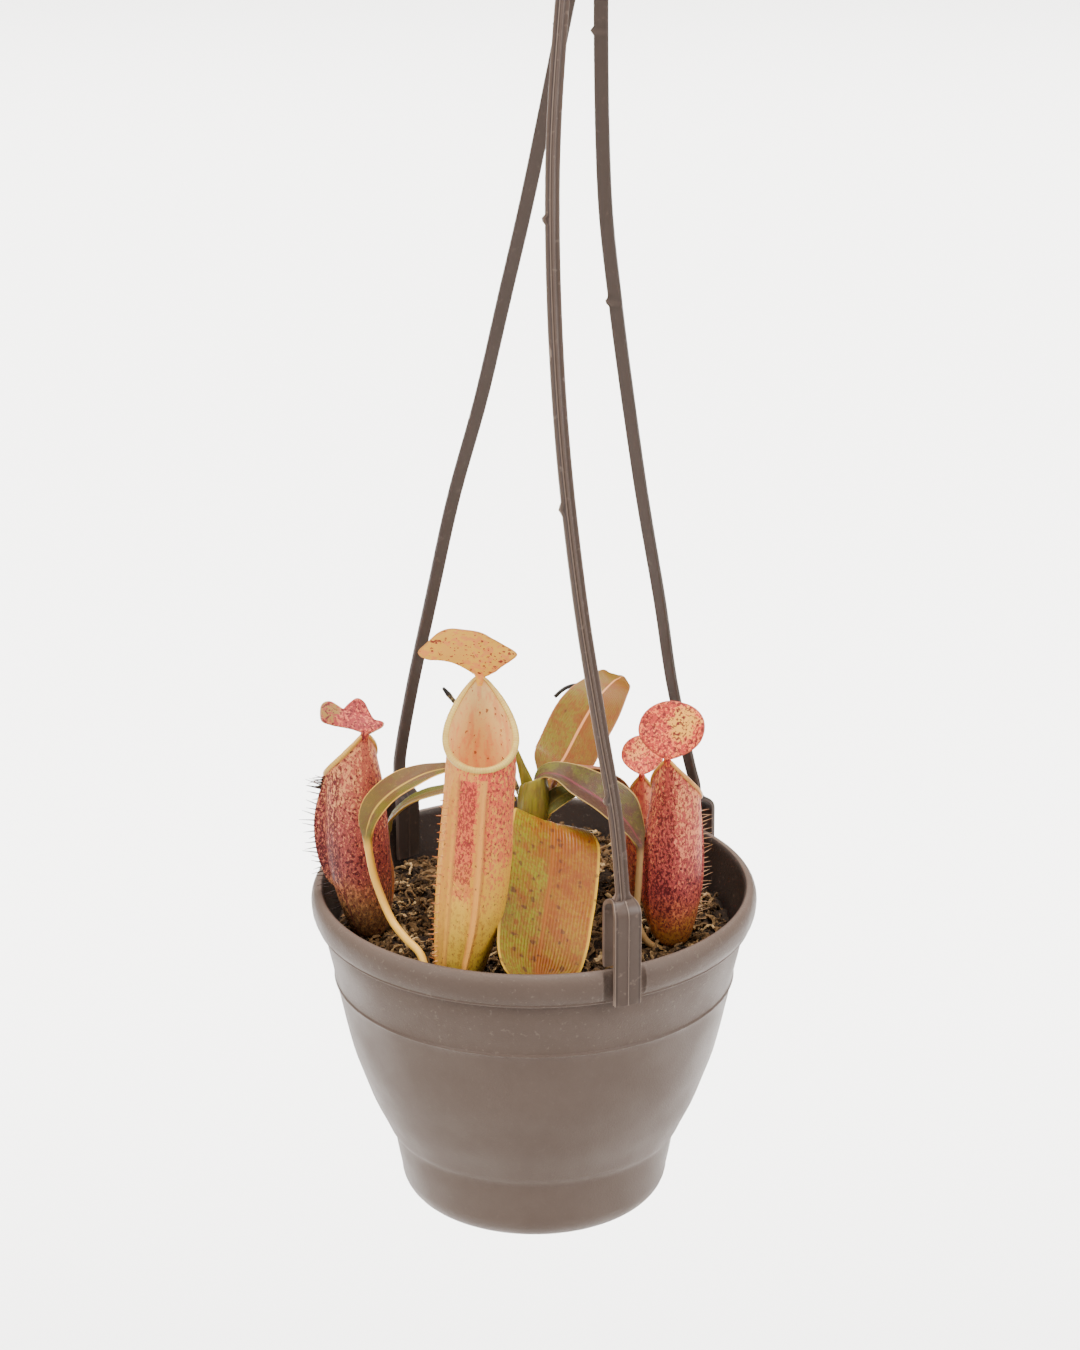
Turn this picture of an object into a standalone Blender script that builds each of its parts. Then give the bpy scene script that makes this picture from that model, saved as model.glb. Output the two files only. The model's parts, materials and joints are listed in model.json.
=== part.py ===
"""A pitcher plant in a moulded plastic pot that hangs from a three-strap hanger.

Every length here is in millimetres, and build_mesh turns it into metres. The pot's axis is Z,
its underside is Z = 0, and its front is -Y. A turn is an angle from the front towards +X.
"""
import math
import random

import bmesh
import bpy
from mathutils import Vector

METRE = 0.001
GAP = 0.3                    # clearance between pieces that touch

# Pot
POT_HEIGHT = 110.0
LIP_RADIUS = 72.6
LIP_BOTTOM = 99.2
FOOT_RADIUS = 44.0
FOOT_ROUNDING = 10.0
FOOT_STEP = 23.4             # height of the crease between the foot and the bowl
RING_LINE = 79.1             # height of the fine moulded line round the bowl
WALL = 1.9
FLOOR = 2.2
POT_SIDES = 36
COLUMN_GAP = 1.5             # least turn from an even column to a notch's edge
DRAIN_HOLES = 6
DRAIN_RADIUS = 2.0
DRAIN_CIRCLE = 26.0

# Hanger
CLIP_TURNS = {"front": 23.4, "right": 129.5, "left": 220.6}
CLIP_WIDTH = 9.2
CLIP_THICKNESS = 1.6
CLIP_TOPS = {"front": 133.6, "right": 122.0, "left": 121.6}
CLIP_OUTER_LEG = 34.9
CLIP_INNER_LEG = 24.6
CLIP_OUTER_RADIUS = LIP_RADIUS + GAP + CLIP_THICKNESS
CLIP_INNER_RADIUS = 64.3
CLIP_EDGE = 0.3              # bevel along a clip's outer face, and the rise of its middle line
NOTCH_WIDTH = 13.0           # the recess of the lip that each clip sits in
NOTCH_DEPTH = 1.5
NOTCH_SLOPE = 0.5            # degrees that a notch's side wall takes
STRAP_WIDTH = 4.5
STRAP_THICKNESS = 1.7
STRAP_PITCH = 4.9            # from one strap to the next at the hub
STRAP_BELOW_HUB = 14.0       # length at the top that runs straight up to the hub
HUB_X = 17.5                 # the hub hangs off the pot's axis
HUB_BOTTOM = 449.0
HUB_THICKNESS = 4.0
HOOK_RADIUS = 13.5
HOOK_CENTRE = 487.0
HOOK_SECTION = (4.0, 5.0)
HOOK_TIP_ANGLE = 210

# Plant
MOSS_LEVEL = 95.5
MOSS_RELIEF = 1.5
BLADE = 0.75                 # thickness of a leaf at its edge
MIDRIB = 1.7
PITCHER_WALL = 0.95
STEM_FOOT = 88.0

TAUPE = (0.235, 0.190, 0.155, 1.0)
MOSS_BROWN = (0.120, 0.080, 0.045, 1.0)
STEM_GREEN = (0.230, 0.260, 0.070, 1.0)
DRY_BROWN = (0.060, 0.040, 0.020, 1.0)


def clear_scene():
    for obj in list(bpy.data.objects):
        bpy.data.objects.remove(obj, do_unlink=True)


def make_material(name, colour, roughness):
    material = bpy.data.materials.new(name)
    material.use_nodes = True
    surface = material.node_tree.nodes["Principled BSDF"]
    surface.inputs["Base Color"].default_value = colour
    surface.inputs["Roughness"].default_value = roughness
    surface.inputs["Metallic"].default_value = 0.0
    return material


def build_mesh(name, points, faces, colour, roughness=0.5, sharp=40.0):
    """Make one smooth-shaded closed object with its own material."""
    mesh = bpy.data.meshes.new(name)
    mesh.from_pydata([Vector(p) * METRE for p in points], [], faces)
    shell = bmesh.new()
    shell.from_mesh(mesh)
    bmesh.ops.recalc_face_normals(shell, faces=shell.faces)
    shell.to_mesh(mesh)
    shell.free()
    mesh.shade_smooth()
    mesh.set_sharp_from_angle(angle=math.radians(sharp))
    mesh.materials.append(make_material(name, colour, roughness))
    obj = bpy.data.objects.new(name, mesh)
    bpy.context.scene.collection.objects.link(obj)
    return obj


def combine(target, tool, operation):
    """Join a helper object to a target, or cut it away, and remove the helper."""
    modifier = target.modifiers.new(operation.title(), "BOOLEAN")
    modifier.operation = operation
    modifier.solver = "EXACT"
    modifier.object = tool
    bpy.context.view_layer.update()
    evaluated = target.evaluated_get(bpy.context.evaluated_depsgraph_get())
    mesh = bpy.data.meshes.new_from_object(evaluated)
    target.modifiers.remove(modifier)
    target.data = mesh
    bpy.data.objects.remove(tool, do_unlink=True)


def curve(rows, steps):
    """Return steps + 1 rows on the Catmull-Rom curve that passes through the given rows."""
    knots = [Vector(row) for row in rows]
    knots = [2 * knots[0] - knots[1]] + knots + [2 * knots[-1] - knots[-2]]
    spans = len(rows) - 1
    result = []
    for step in range(steps + 1):
        span = min(step * spans // steps, spans - 1)
        t = step * spans / steps - span
        a, b, c, d = knots[span:span + 4]
        result.append(0.5 * (2 * b + (c - a) * t + (2 * a - 5 * b + 4 * c - d) * t ** 2
                             + (3 * b - a - 3 * c + d) * t ** 3))
    return result


def tangents(path):
    ends = [path[0]] + list(path) + [path[-1]]
    return [(ends[i + 2] - ends[i]).normalized() for i in range(len(path))]


def skin(rings, paired=False):
    """Cover rings of equal length with triangles and close both ends with a fan.

    A paired skin has thin rings, whose second half lies under the first, and splits both
    faces of the blade along the same diagonals.
    """
    count = len(rings[0])
    points = [point for ring in rings for point in ring]
    faces = []
    for row in range(len(rings) - 1):
        for k in range(count):
            a = row * count + k
            b = row * count + (k + 1) % count
            c, d = b + count, a + count
            if paired and k >= count // 2:
                faces += [(a, b, d), (b, c, d)]
            else:
                faces += [(a, b, c), (a, c, d)]
    for ring, first in ((rings[0], 0), (rings[-1], (len(rings) - 1) * count)):
        points.append(sum((Vector(p) for p in ring), Vector((0, 0, 0))) / count)
        for k in range(count):
            faces.append((first + k, first + (k + 1) % count, len(points) - 1))
    return points, faces


def heading(turn):
    """Return the level unit vector at a turn from the front towards +X."""
    return Vector((math.sin(math.radians(turn)), -math.cos(math.radians(turn)), 0.0))


def rod(path, radii, sides):
    """Return the rings of a round rod with a radius for each point of its path."""
    rings = []
    side = Vector((0.31, 0.95, 0.0))
    for point, along, radius in zip(path, tangents(path), radii):
        side = (side - side.dot(along) * along).normalized()
        up = along.cross(side)
        rings.append([point + radius * (math.cos(2 * math.pi * k / sides) * side
                                        + math.sin(2 * math.pi * k / sides) * up)
                      for k in range(sides)])
    return rings


# ---------------------------------------------------------------- pot

def pot_profile():
    """Return (radius, height) from the underside up the outside, over the lip and down inside."""
    flat = FOOT_RADIUS - FOOT_ROUNDING
    foot = [(flat + FOOT_ROUNDING * math.sin(math.radians(a)),
             FOOT_ROUNDING * (1 - math.cos(math.radians(a)))) for a in (0, 30, 60, 90)]
    bowl = [(45.9, 20.0), (46.4, FOOT_STEP), (48.2, 25.6), (50.2, 30.0), (53.5, 37.0),
            (56.4, 45.0), (59.5, 54.0), (63.4, 71.0), (65.0, RING_LINE - 0.7),
            (65.5, RING_LINE), (65.2, RING_LINE + 0.8), (68.0, 92.7), (68.2, LIP_BOTTOM)]
    lip = [(70.6, LIP_BOTTOM + 0.3), (72.3, 102.2), (LIP_RADIUS, 105.5), (71.9, 108.3),
           (70.4, POT_HEIGHT), (69.3, POT_HEIGHT - 0.2), (68.4, 107.6)]
    inside = [(66.4, 96.0), (65.2 - WALL, 80.0), (59.5 - WALL, 54.0), (53.5 - WALL, 37.0),
              (50.2 - WALL, 30.0), (45.9 - WALL, 20.0), (FOOT_RADIUS - WALL, 10.5),
              (39.8, 4.6), (flat, FLOOR)]
    return foot + bowl + lip + inside


def pot_turns():
    """Return (turn, in a notch) for the pot's columns: even ones, and four for each notch."""
    half = math.degrees(NOTCH_WIDTH / 2 / LIP_RADIUS)
    edges = [(clip + side * (half + wall), wall == 0.0) for clip in CLIP_TURNS.values()
             for side in (-1, 1) for wall in (0.0, NOTCH_SLOPE)]
    even = [360.0 * k / POT_SIDES for k in range(POT_SIDES)]
    even = [(turn, any(abs(turn - clip) < half for clip in CLIP_TURNS.values()))
            for turn in even if min(abs(turn - edge) for edge, _ in edges) > COLUMN_GAP]
    return sorted(even + edges)


def build_pot():
    notch_radius = LIP_RADIUS - NOTCH_DEPTH
    rings = []
    for radius, height in pot_profile():
        rings.append([heading(turn) * (min(radius, notch_radius) if notched else radius)
                      + Vector((0, 0, height)) for turn, notched in pot_turns()])
    pot = build_mesh("pot", *skin(rings), TAUPE, 0.55, 30.0)
    for k in range(DRAIN_HOLES):
        place = heading(360.0 * (k + 0.5) / DRAIN_HOLES) * DRAIN_CIRCLE
        path = [place + Vector((0, 0, z)) for z in (-FLOOR, 2 * FLOOR)]
        cutter = build_mesh("drain", *skin(rod(path, [DRAIN_RADIUS] * 2, 8)), TAUPE)
        combine(pot, cutter, "DIFFERENCE")


# ---------------------------------------------------------------- hanger

STRAP_ROUTES = {
    "front": [(25.3, -60.3, 160.4), (20.2, -56.0, 190.2), (14.2, -49.8, 228.0),
              (9.0, -41.5, 273.5), (6.2, -32.3, 318.8), (5.9, -22.4, 363.0),
              (8.7, -11.6, 406.6)],
    "right": [(51.4, 44.2, 134.2), (45.4, 41.9, 163.0), (41.0, 38.9, 193.4), (35.1, 35.0, 229.6),
              (30.1, 30.7, 265.2), (25.7, 25.9, 300.2), (22.0, 20.0, 339.0),
              (20.6, 9.8, 399.0)],
    "left": [(-44.5, 52.4, 134.0), (-40.2, 50.2, 159.0), (-33.8, 46.2, 190.6), (-26.3, 41.3, 227.3),
             (-17.1, 36.0, 263.4), (-9.5, 30.2, 298.8), (-1.0, 23.2, 339.0),
             (10.4, 10.9, 400.4)],
}
STRAP_SLOTS = {"front": -1, "left": 0, "right": 1}
STRAP_LEAN = {"front": -2.6, "left": 2.6, "right": 2.6}
STRAP_KNOBS = {"front": (33.0, 126.0, 215.0), "right": (182.0, 275.0), "left": (281.0, 293.0)}
STRAP_RIB = 0.5              # height of the rib, and its half width at the top and the foot
RIB_TOP, RIB_FOOT = 0.3, 0.8
STRAP_EDGE = 0.3
STRAP_SPACING = 13.0
KNOB_REACH = 1.0
KNOB_HALF_LENGTH = 1.1
KNOB_CLEAR = 3.0             # no even station of a strap lies this near to a knob
FLARE_LENGTH = 3.0           # the strap's foot thickens over this length, inside the clip
FLARE_WIDTH, FLARE_DEPTH = 1.0, 0.8


def along_path(path, distance):
    """Return the point and the direction at a distance along a dense path."""
    for a, b in zip(path, path[1:]):
        step = (b - a).length
        if distance <= step or b is path[-1]:
            return a.lerp(b, min(distance / step, 1.0)), (b - a).normalized()
        distance -= step


def strap_stations(place, length):
    """Return (distance, knob) pairs: even stations, and four more round each moulded knob."""
    count = round(length / STRAP_SPACING)
    stations = [(length * k / count, 0.0) for k in range(count + 1)]
    stations.append((0.75 * FLARE_LENGTH, 0.0))
    for spot in STRAP_KNOBS[place]:
        stations = [s for s in stations if abs(s[0] - spot) > KNOB_CLEAR]
        stations += [(spot + d * KNOB_HALF_LENGTH, KNOB_REACH if abs(d) < 1 else 0.0)
                     for d in (-1.2, -0.6, 0.6, 1.2)]
    return sorted(stations)


def strap_rings(place, path, side_from, side_to):
    """Return flat rings with a raised rib down the outer face, turning from one side to another."""
    length = sum((b - a).length for a, b in zip(path, path[1:]))
    rings = []
    for distance, knob in strap_stations(place, length):
        point, along = along_path(path, distance)
        side = side_from.lerp(side_to, distance / length)
        side = (side - side.dot(along) * along).normalized()
        out = side.cross(along)
        flare = max(0.0, 1.0 - distance / FLARE_LENGTH)
        half = STRAP_WIDTH / 2 + FLARE_WIDTH * flare
        thin = STRAP_THICKNESS / 2 + FLARE_DEPTH * flare
        left = half + (knob if side.x > 0 else 0.0)
        right = half + (knob if side.x < 0 else 0.0)
        section = [(-left, -thin), (right, -thin), (right, thin - STRAP_EDGE),
                   (RIB_FOOT, thin - STRAP_EDGE / 3), (RIB_TOP, thin + STRAP_RIB),
                   (-RIB_TOP, thin + STRAP_RIB), (-RIB_FOOT, thin - STRAP_EDGE / 3),
                   (-left, thin - STRAP_EDGE)]
        rings.append([point + x * side + y * out for x, y in section])
    return rings


def clip_rings(place):
    """Return the rings of the bent band that grips the lip, from its outer to its inner end."""
    turn, top = CLIP_TURNS[place], CLIP_TOPS[place]
    mid_outer = CLIP_OUTER_RADIUS - CLIP_THICKNESS / 2
    mid_inner = CLIP_INNER_RADIUS + CLIP_THICKNESS / 2
    arch = (mid_outer - mid_inner) / 2
    arch_centre = (mid_outer + mid_inner) / 2
    arch_height = top - CLIP_THICKNESS / 2 - arch
    path = [(mid_outer, top - CLIP_OUTER_LEG), (mid_outer, arch_height)]
    path += [(arch_centre + arch * math.cos(math.radians(a)),
              arch_height + arch * math.sin(math.radians(a))) for a in range(30, 180, 30)]
    path += [(mid_inner, arch_height), (mid_inner, top - CLIP_INNER_LEG)]
    out = heading(turn)
    line = [out * r + Vector((0, 0, z)) for r, z in path]
    across = Vector((0, 0, 1)).cross(out)
    half, thin = CLIP_WIDTH / 2, CLIP_THICKNESS / 2
    section = [(-half, -thin), (half, -thin), (half, thin - CLIP_EDGE), (half - CLIP_EDGE, thin),
               (0.5, thin), (0.0, thin + CLIP_EDGE), (-0.5, thin), (-half + CLIP_EDGE, thin),
               (-half, thin - CLIP_EDGE)]
    rings = []
    for point, along in zip(line, tangents(line)):
        normal = across.cross(along)
        rings.append([point + x * across - y * normal for x, y in section])
    return rings


def build_strap(place):
    turn = CLIP_TURNS[place]
    out = heading(turn)
    foot_radius = (CLIP_OUTER_RADIUS + CLIP_INNER_RADIUS) / 2
    foot = out * foot_radius + Vector((0, 0, CLIP_TOPS[place] - 1.0))
    neck = out * (foot_radius - 0.2) + Vector((0, 0, CLIP_TOPS[place] + 4.0))
    top = Vector((HUB_X + STRAP_SLOTS[place] * STRAP_PITCH, 0.0, HUB_BOTTOM - GAP))
    below = Vector((top.x - 0.8, STRAP_LEAN[place], HUB_BOTTOM - STRAP_BELOW_HUB))
    path = curve([foot, neck] + STRAP_ROUTES[place] + [below, top], 120)
    across = Vector((0, 0, 1)).cross(out)
    level = Vector((math.copysign(1.0, across.x), 0.0, 0.0))
    strap = build_mesh("hanger_strap_" + place, *skin(clip_rings(place)), TAUPE, 0.5, 30.0)
    band = build_mesh("band", *skin(strap_rings(place, path, across, level)), TAUPE)
    combine(strap, band, "UNION")


def build_hook():
    """Make the hub plate that holds the straps, drawn out above into an open hook."""
    wide = STRAP_PITCH + STRAP_WIDTH / 2 + GAP
    rod_x, rod_y = HOOK_SECTION[0] / 2, HOOK_SECTION[1] / 2
    rows = [(Vector((HUB_X, 0, HUB_BOTTOM + rise)), half, HUB_THICKNESS / 2)
            for rise, half in ((0.0, wide), (5.0, wide), (11.0, 0.66 * wide), (16.0, 0.44 * wide))]
    middle = Vector((HUB_X, 0, HOOK_CENTRE))
    for angle in range(-90, HOOK_TIP_ANGLE + 1, 15):
        turn = math.radians(angle)
        place = middle + HOOK_RADIUS * Vector((math.cos(turn), 0, math.sin(turn)))
        if angle > -90:
            rows.append((place, rod_x, rod_y))
    path = [row[0] for row in rows]
    rings = []
    for (point, half_x, half_y), along in zip(rows, tangents(path)):
        side = Vector((0, 1, 0)).cross(along)
        rings.append([point + half_x * x * side + half_y * y * Vector((0, 1, 0))
                      for x, y in ((-1, -0.6), (-0.7, -1), (0.7, -1), (1, -0.6),
                                   (1, 0.6), (0.7, 1), (-0.7, 1), (-1, 0.6))])
    build_mesh("hanger_hook", *skin(rings), TAUPE, 0.5, 30.0)


# ---------------------------------------------------------------- pitchers

# Each body row is (x, y, height, radius) of a level slice, from the rounded bottom up.
PITCHERS = {
    "pitcher_front": dict(
        body=[(-24.8, -49.4, 93.4, 3.0), (-24.5, -49.2, 96.0, 5.6), (-23.6, -48.4, 102.0, 7.8),
              (-22.0, -46.8, 111.0, 9.6), (-20.3, -45.2, 121.0, 11.1), (-18.6, -43.4, 138.0, 11.7),
              (-17.6, -42.2, 154.0, 11.3), (-16.6, -41.4, 168.0, 11.2)],
        turn=2.0, wings=-22.0, wing=(2.4, 95.0, 168.0),
        front=171.0, neck=194.5, mouth=(11.2, 10.6, 9.8), lip=1.15,
        lid=dict(turn=-4.0, rise=57.0, length=24.5, half=15.8, shift=-3.4, cup=-0.10, wave=1.0,
                 phase=0.4),
        colour=(0.70, 0.52, 0.24, 1.0)),
    "pitcher_left": dict(
        body=[(-53.6, -5.4, 93.6, 3.0), (-53.7, -5.4, 96.0, 5.6), (-54.2, -5.4, 102.0, 7.7),
              (-55.4, -5.3, 111.0, 9.3), (-56.6, -5.2, 121.0, 10.1), (-57.4, -5.0, 133.0, 10.2),
              (-57.6, -4.6, 145.0, 9.4)],
        turn=218.0, wings=24.0, wing=(3.6, 111.0, 148.0),
        front=147.0, neck=165.5, mouth=(8.9, 8.6, 8.0), lip=0.9,
        lid=dict(turn=232.0, rise=10.0, length=18.0, half=11.0, shift=-1.0, cup=0.20, wave=2.0,
                 phase=2.0),
        colour=(0.42, 0.14, 0.10, 1.0)),
    "pitcher_right": dict(
        body=[(45.0, -12.6, 94.0, 3.0), (44.8, -12.6, 96.4, 5.6), (44.4, -12.5, 102.0, 7.8),
              (44.2, -12.2, 110.0, 9.4), (44.3, -11.8, 120.0, 9.8), (44.6, -11.2, 131.0, 9.4),
              (45.3, -10.6, 140.0, 8.5)],
        turn=158.0, wings=-20.0, wing=(1.6, 100.0, 140.0),
        front=141.0, neck=160.0, mouth=(8.0, 7.8, 7.2), lip=0.75,
        lid=dict(turn=168.0, rise=44.0, length=20.5, half=10.8, shift=0.0, cup=0.12, wave=0.4,
                 phase=0.0),
        colour=(0.46, 0.10, 0.09, 1.0)),
    "pitcher_rear": dict(
        body=[(35.6, 19.4, 94.4, 2.2), (35.6, 19.4, 96.4, 3.8), (35.7, 19.6, 101.0, 5.0),
              (35.9, 20.0, 108.0, 5.7), (36.0, 20.3, 116.0, 5.8), (35.8, 20.6, 124.0, 5.3)],
        turn=172.0, wings=None, wing=(0.0, 96.0, 120.0),
        front=126.0, neck=140.5, mouth=(4.9, 4.9, 4.6), lip=0.65,
        lid=dict(turn=176.0, rise=40.0, length=14.5, half=7.0, shift=0.0, cup=0.12, wave=0.3,
                 phase=0.0),
        colour=(0.45, 0.13, 0.10, 1.0)),
}
WING_SPREAD = 28.0           # angle from the front of a pitcher to each of its two wings
WING_FLANK = 8.0             # half of the angle that a wing's foot takes
TAPER = 0.75                 # how far the mouth narrows towards the neck
MOUTH_BEND = 1.6             # how strongly the mouth's edge turns upright towards the neck


def pitcher_columns(wing_offset):
    """Return the angles round a pitcher from its front, closer together along its wings."""
    if wing_offset is None:
        return [0, 30, 60, 90, 120, 152, 180, 208, 240, 270, 300, 330], []
    plain = [20 * k for k in range(8)] + [157, 180, 203] + [220 + 20 * k for k in range(7)]
    wings = [(wing_offset + s * WING_SPREAD) % 360 for s in (-1, 1)]
    near = WING_FLANK + 4.0
    plain = [a for a in plain if all(abs((a - w + 180) % 360 - 180) > near for w in wings)]
    flanks = [(w + f) % 360 for w in wings for f in (-WING_FLANK, 0, WING_FLANK)]
    return sorted(plain + flanks), wings


def mouth_point(spec, angle):
    """Return (across, forward, height) on the slanted tear-shaped edge of a pitcher's mouth."""
    half_width, front_reach, back_reach = spec["mouth"]
    rise = (1 - math.cos(math.radians(angle))) / 2
    widest = 0.71
    across = half_width * math.sin(math.radians(angle)) * (1 - TAPER * rise) / widest
    forward = front_reach - (front_reach + back_reach) * (1 - (1 - rise) ** MOUTH_BEND)
    return across, forward, spec["front"] + (spec["neck"] - spec["front"]) * rise


def pitcher_grid(spec, columns, body_steps, brow_steps):
    """Return the rows of a pitcher's outer face from its bottom to the edge of its mouth."""
    ahead = heading(spec["turn"])
    aside = Vector((0, 0, 1)).cross(ahead)
    rows = []
    for x, y, z, radius in curve(spec["body"], body_steps):
        rows.append([Vector((x, y, z)) + radius * (math.cos(math.radians(a)) * ahead
                                                   + math.sin(math.radians(a)) * aside)
                     for a in columns])
    top = Vector(spec["body"][-1][:3])
    last = rows[-1]
    for step in range(1, brow_steps + 1):
        share = step / brow_steps
        row = []
        for angle, below in zip(columns, last):
            across, forward, height = mouth_point(spec, angle)
            edge = Vector((top.x, top.y, height)) + across * aside + forward * ahead
            row.append(below.lerp(edge, share))
        rows.append(row)
    return rows


def outward(rows):
    """Return the unit normals of a grid whose rows run round and whose columns run up."""
    count = len(rows[0])
    normals = []
    for i, row in enumerate(rows):
        below, above = rows[max(i - 1, 0)], rows[min(i + 1, len(rows) - 1)]
        normals.append([((row[(k + 1) % count] - row[k - 1]).cross(above[k] - below[k])).normalized()
                        for k in range(count)])
    return normals


# The mouth's rolled edge, as steps out from its wall and up along it, in sizes of the lip.
LIP_ROLL = [(0.9, 0.3), (1.3, 0.9), (0.7, 1.6), (-0.5, 1.5), (-1.3, 0.6)]
LID_HALF_THICK = 0.45


def build_pitcher(name):
    spec = PITCHERS[name]
    columns, wings = pitcher_columns(spec["wings"])
    outer = pitcher_grid(spec, columns, 8, 3)
    normals = outward(outer)
    inner = [[p - PITCHER_WALL * n for p, n in zip(row, normal)]
             for row, normal in zip(outer, normals)]
    edge, edge_normals, below = outer[-1], normals[-1], outer[-2]
    rings = []
    wing_height, wing_foot, wing_top = spec["wing"]
    for row, normal in zip(outer, normals):
        share = min(max((row[0].z - wing_foot) / (wing_top - wing_foot), 0.0), 1.0)
        height = wing_height * math.sqrt(math.sin(math.pi * share))
        rings.append([p + (height if angle in wings else 0.0) * n
                      for p, n, angle in zip(row, normal, columns)])
    for out, up in LIP_ROLL:
        ring = []
        for k, angle in enumerate(columns):
            tip = (1 - math.cos(math.radians(angle))) / 2
            size = spec["lip"] * (1.0 - 0.35 * max(0.0, tip - 0.8) / 0.2)
            climb = (edge[k] - below[k]).normalized()
            ring.append(edge[k] + size * (out * edge_normals[k] + up * climb))
        rings.append(ring)
    rings += inner[-1:-4:-1] + inner[-5:0:-2]
    pitcher = build_mesh(name, *skin(rings), spec["colour"], 0.4, 60.0)
    combine(pitcher, build_lid(spec), "UNION")


def lid_point(lid, hinge, share, angle, lift):
    """Return a point of a lid: share runs from its middle to its rim, lift is across it."""
    ahead = heading(lid["turn"])
    aside = Vector((0, 0, 1)).cross(ahead)
    slope = math.radians(lid["rise"])
    along = math.cos(slope) * ahead + math.sin(slope) * Vector((0, 0, 1))
    normal = aside.cross(along)
    half = lid["length"] / 2
    u = half * (1 - share * math.cos(angle))
    pinch = 1 - 0.45 * max(0.0, math.cos(angle)) ** 3
    v = lid["half"] * share * math.sin(angle) * pinch + lid["shift"] * min(1.0, u / half)
    bend = lid["cup"] * (v * v / lid["half"]) + lid["wave"] * share ** 2 * math.sin(
        3 * angle + lid["phase"])
    bend *= min(1.0, u / half)
    return hinge + u * along + v * aside - (bend + lift) * normal


def build_lid(spec):
    """Return a lid on its short stalk, as a round thin blade, for joining to its pitcher."""
    lid = spec["lid"]
    top = Vector(spec["body"][-1][:3])
    across, forward, height = mouth_point(spec, 180.0)
    hinge = Vector((top.x, top.y, height)) + forward * heading(spec["turn"])
    hinge += Vector((0, 0, 0.9 * spec["lip"]))
    sides, shares = 18, (0.36, 0.7, 1.0)
    rings = []
    for lift, order in ((-LID_HALF_THICK, shares), (LID_HALF_THICK, shares[::-1])):
        for share in order:
            rings.append([lid_point(lid, hinge, share, 2 * math.pi * k / sides, lift)
                          for k in range(sides)])
    blade = build_mesh("lid", *skin(rings), spec["colour"])
    foot = hinge - Vector((0, 0, 1.3 * spec["lip"]))
    root = lid_point(lid, hinge, 0.86, 0.0, 0.0)
    stalk = rod([foot, hinge, root], [1.7 * spec["lip"], 1.5 * spec["lip"], 0.9 * spec["lip"]], 8)
    combine(blade, build_mesh("stalk", *skin(stalk), spec["colour"]), "UNION")
    return blade


# ---------------------------------------------------------------- leaves

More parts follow.
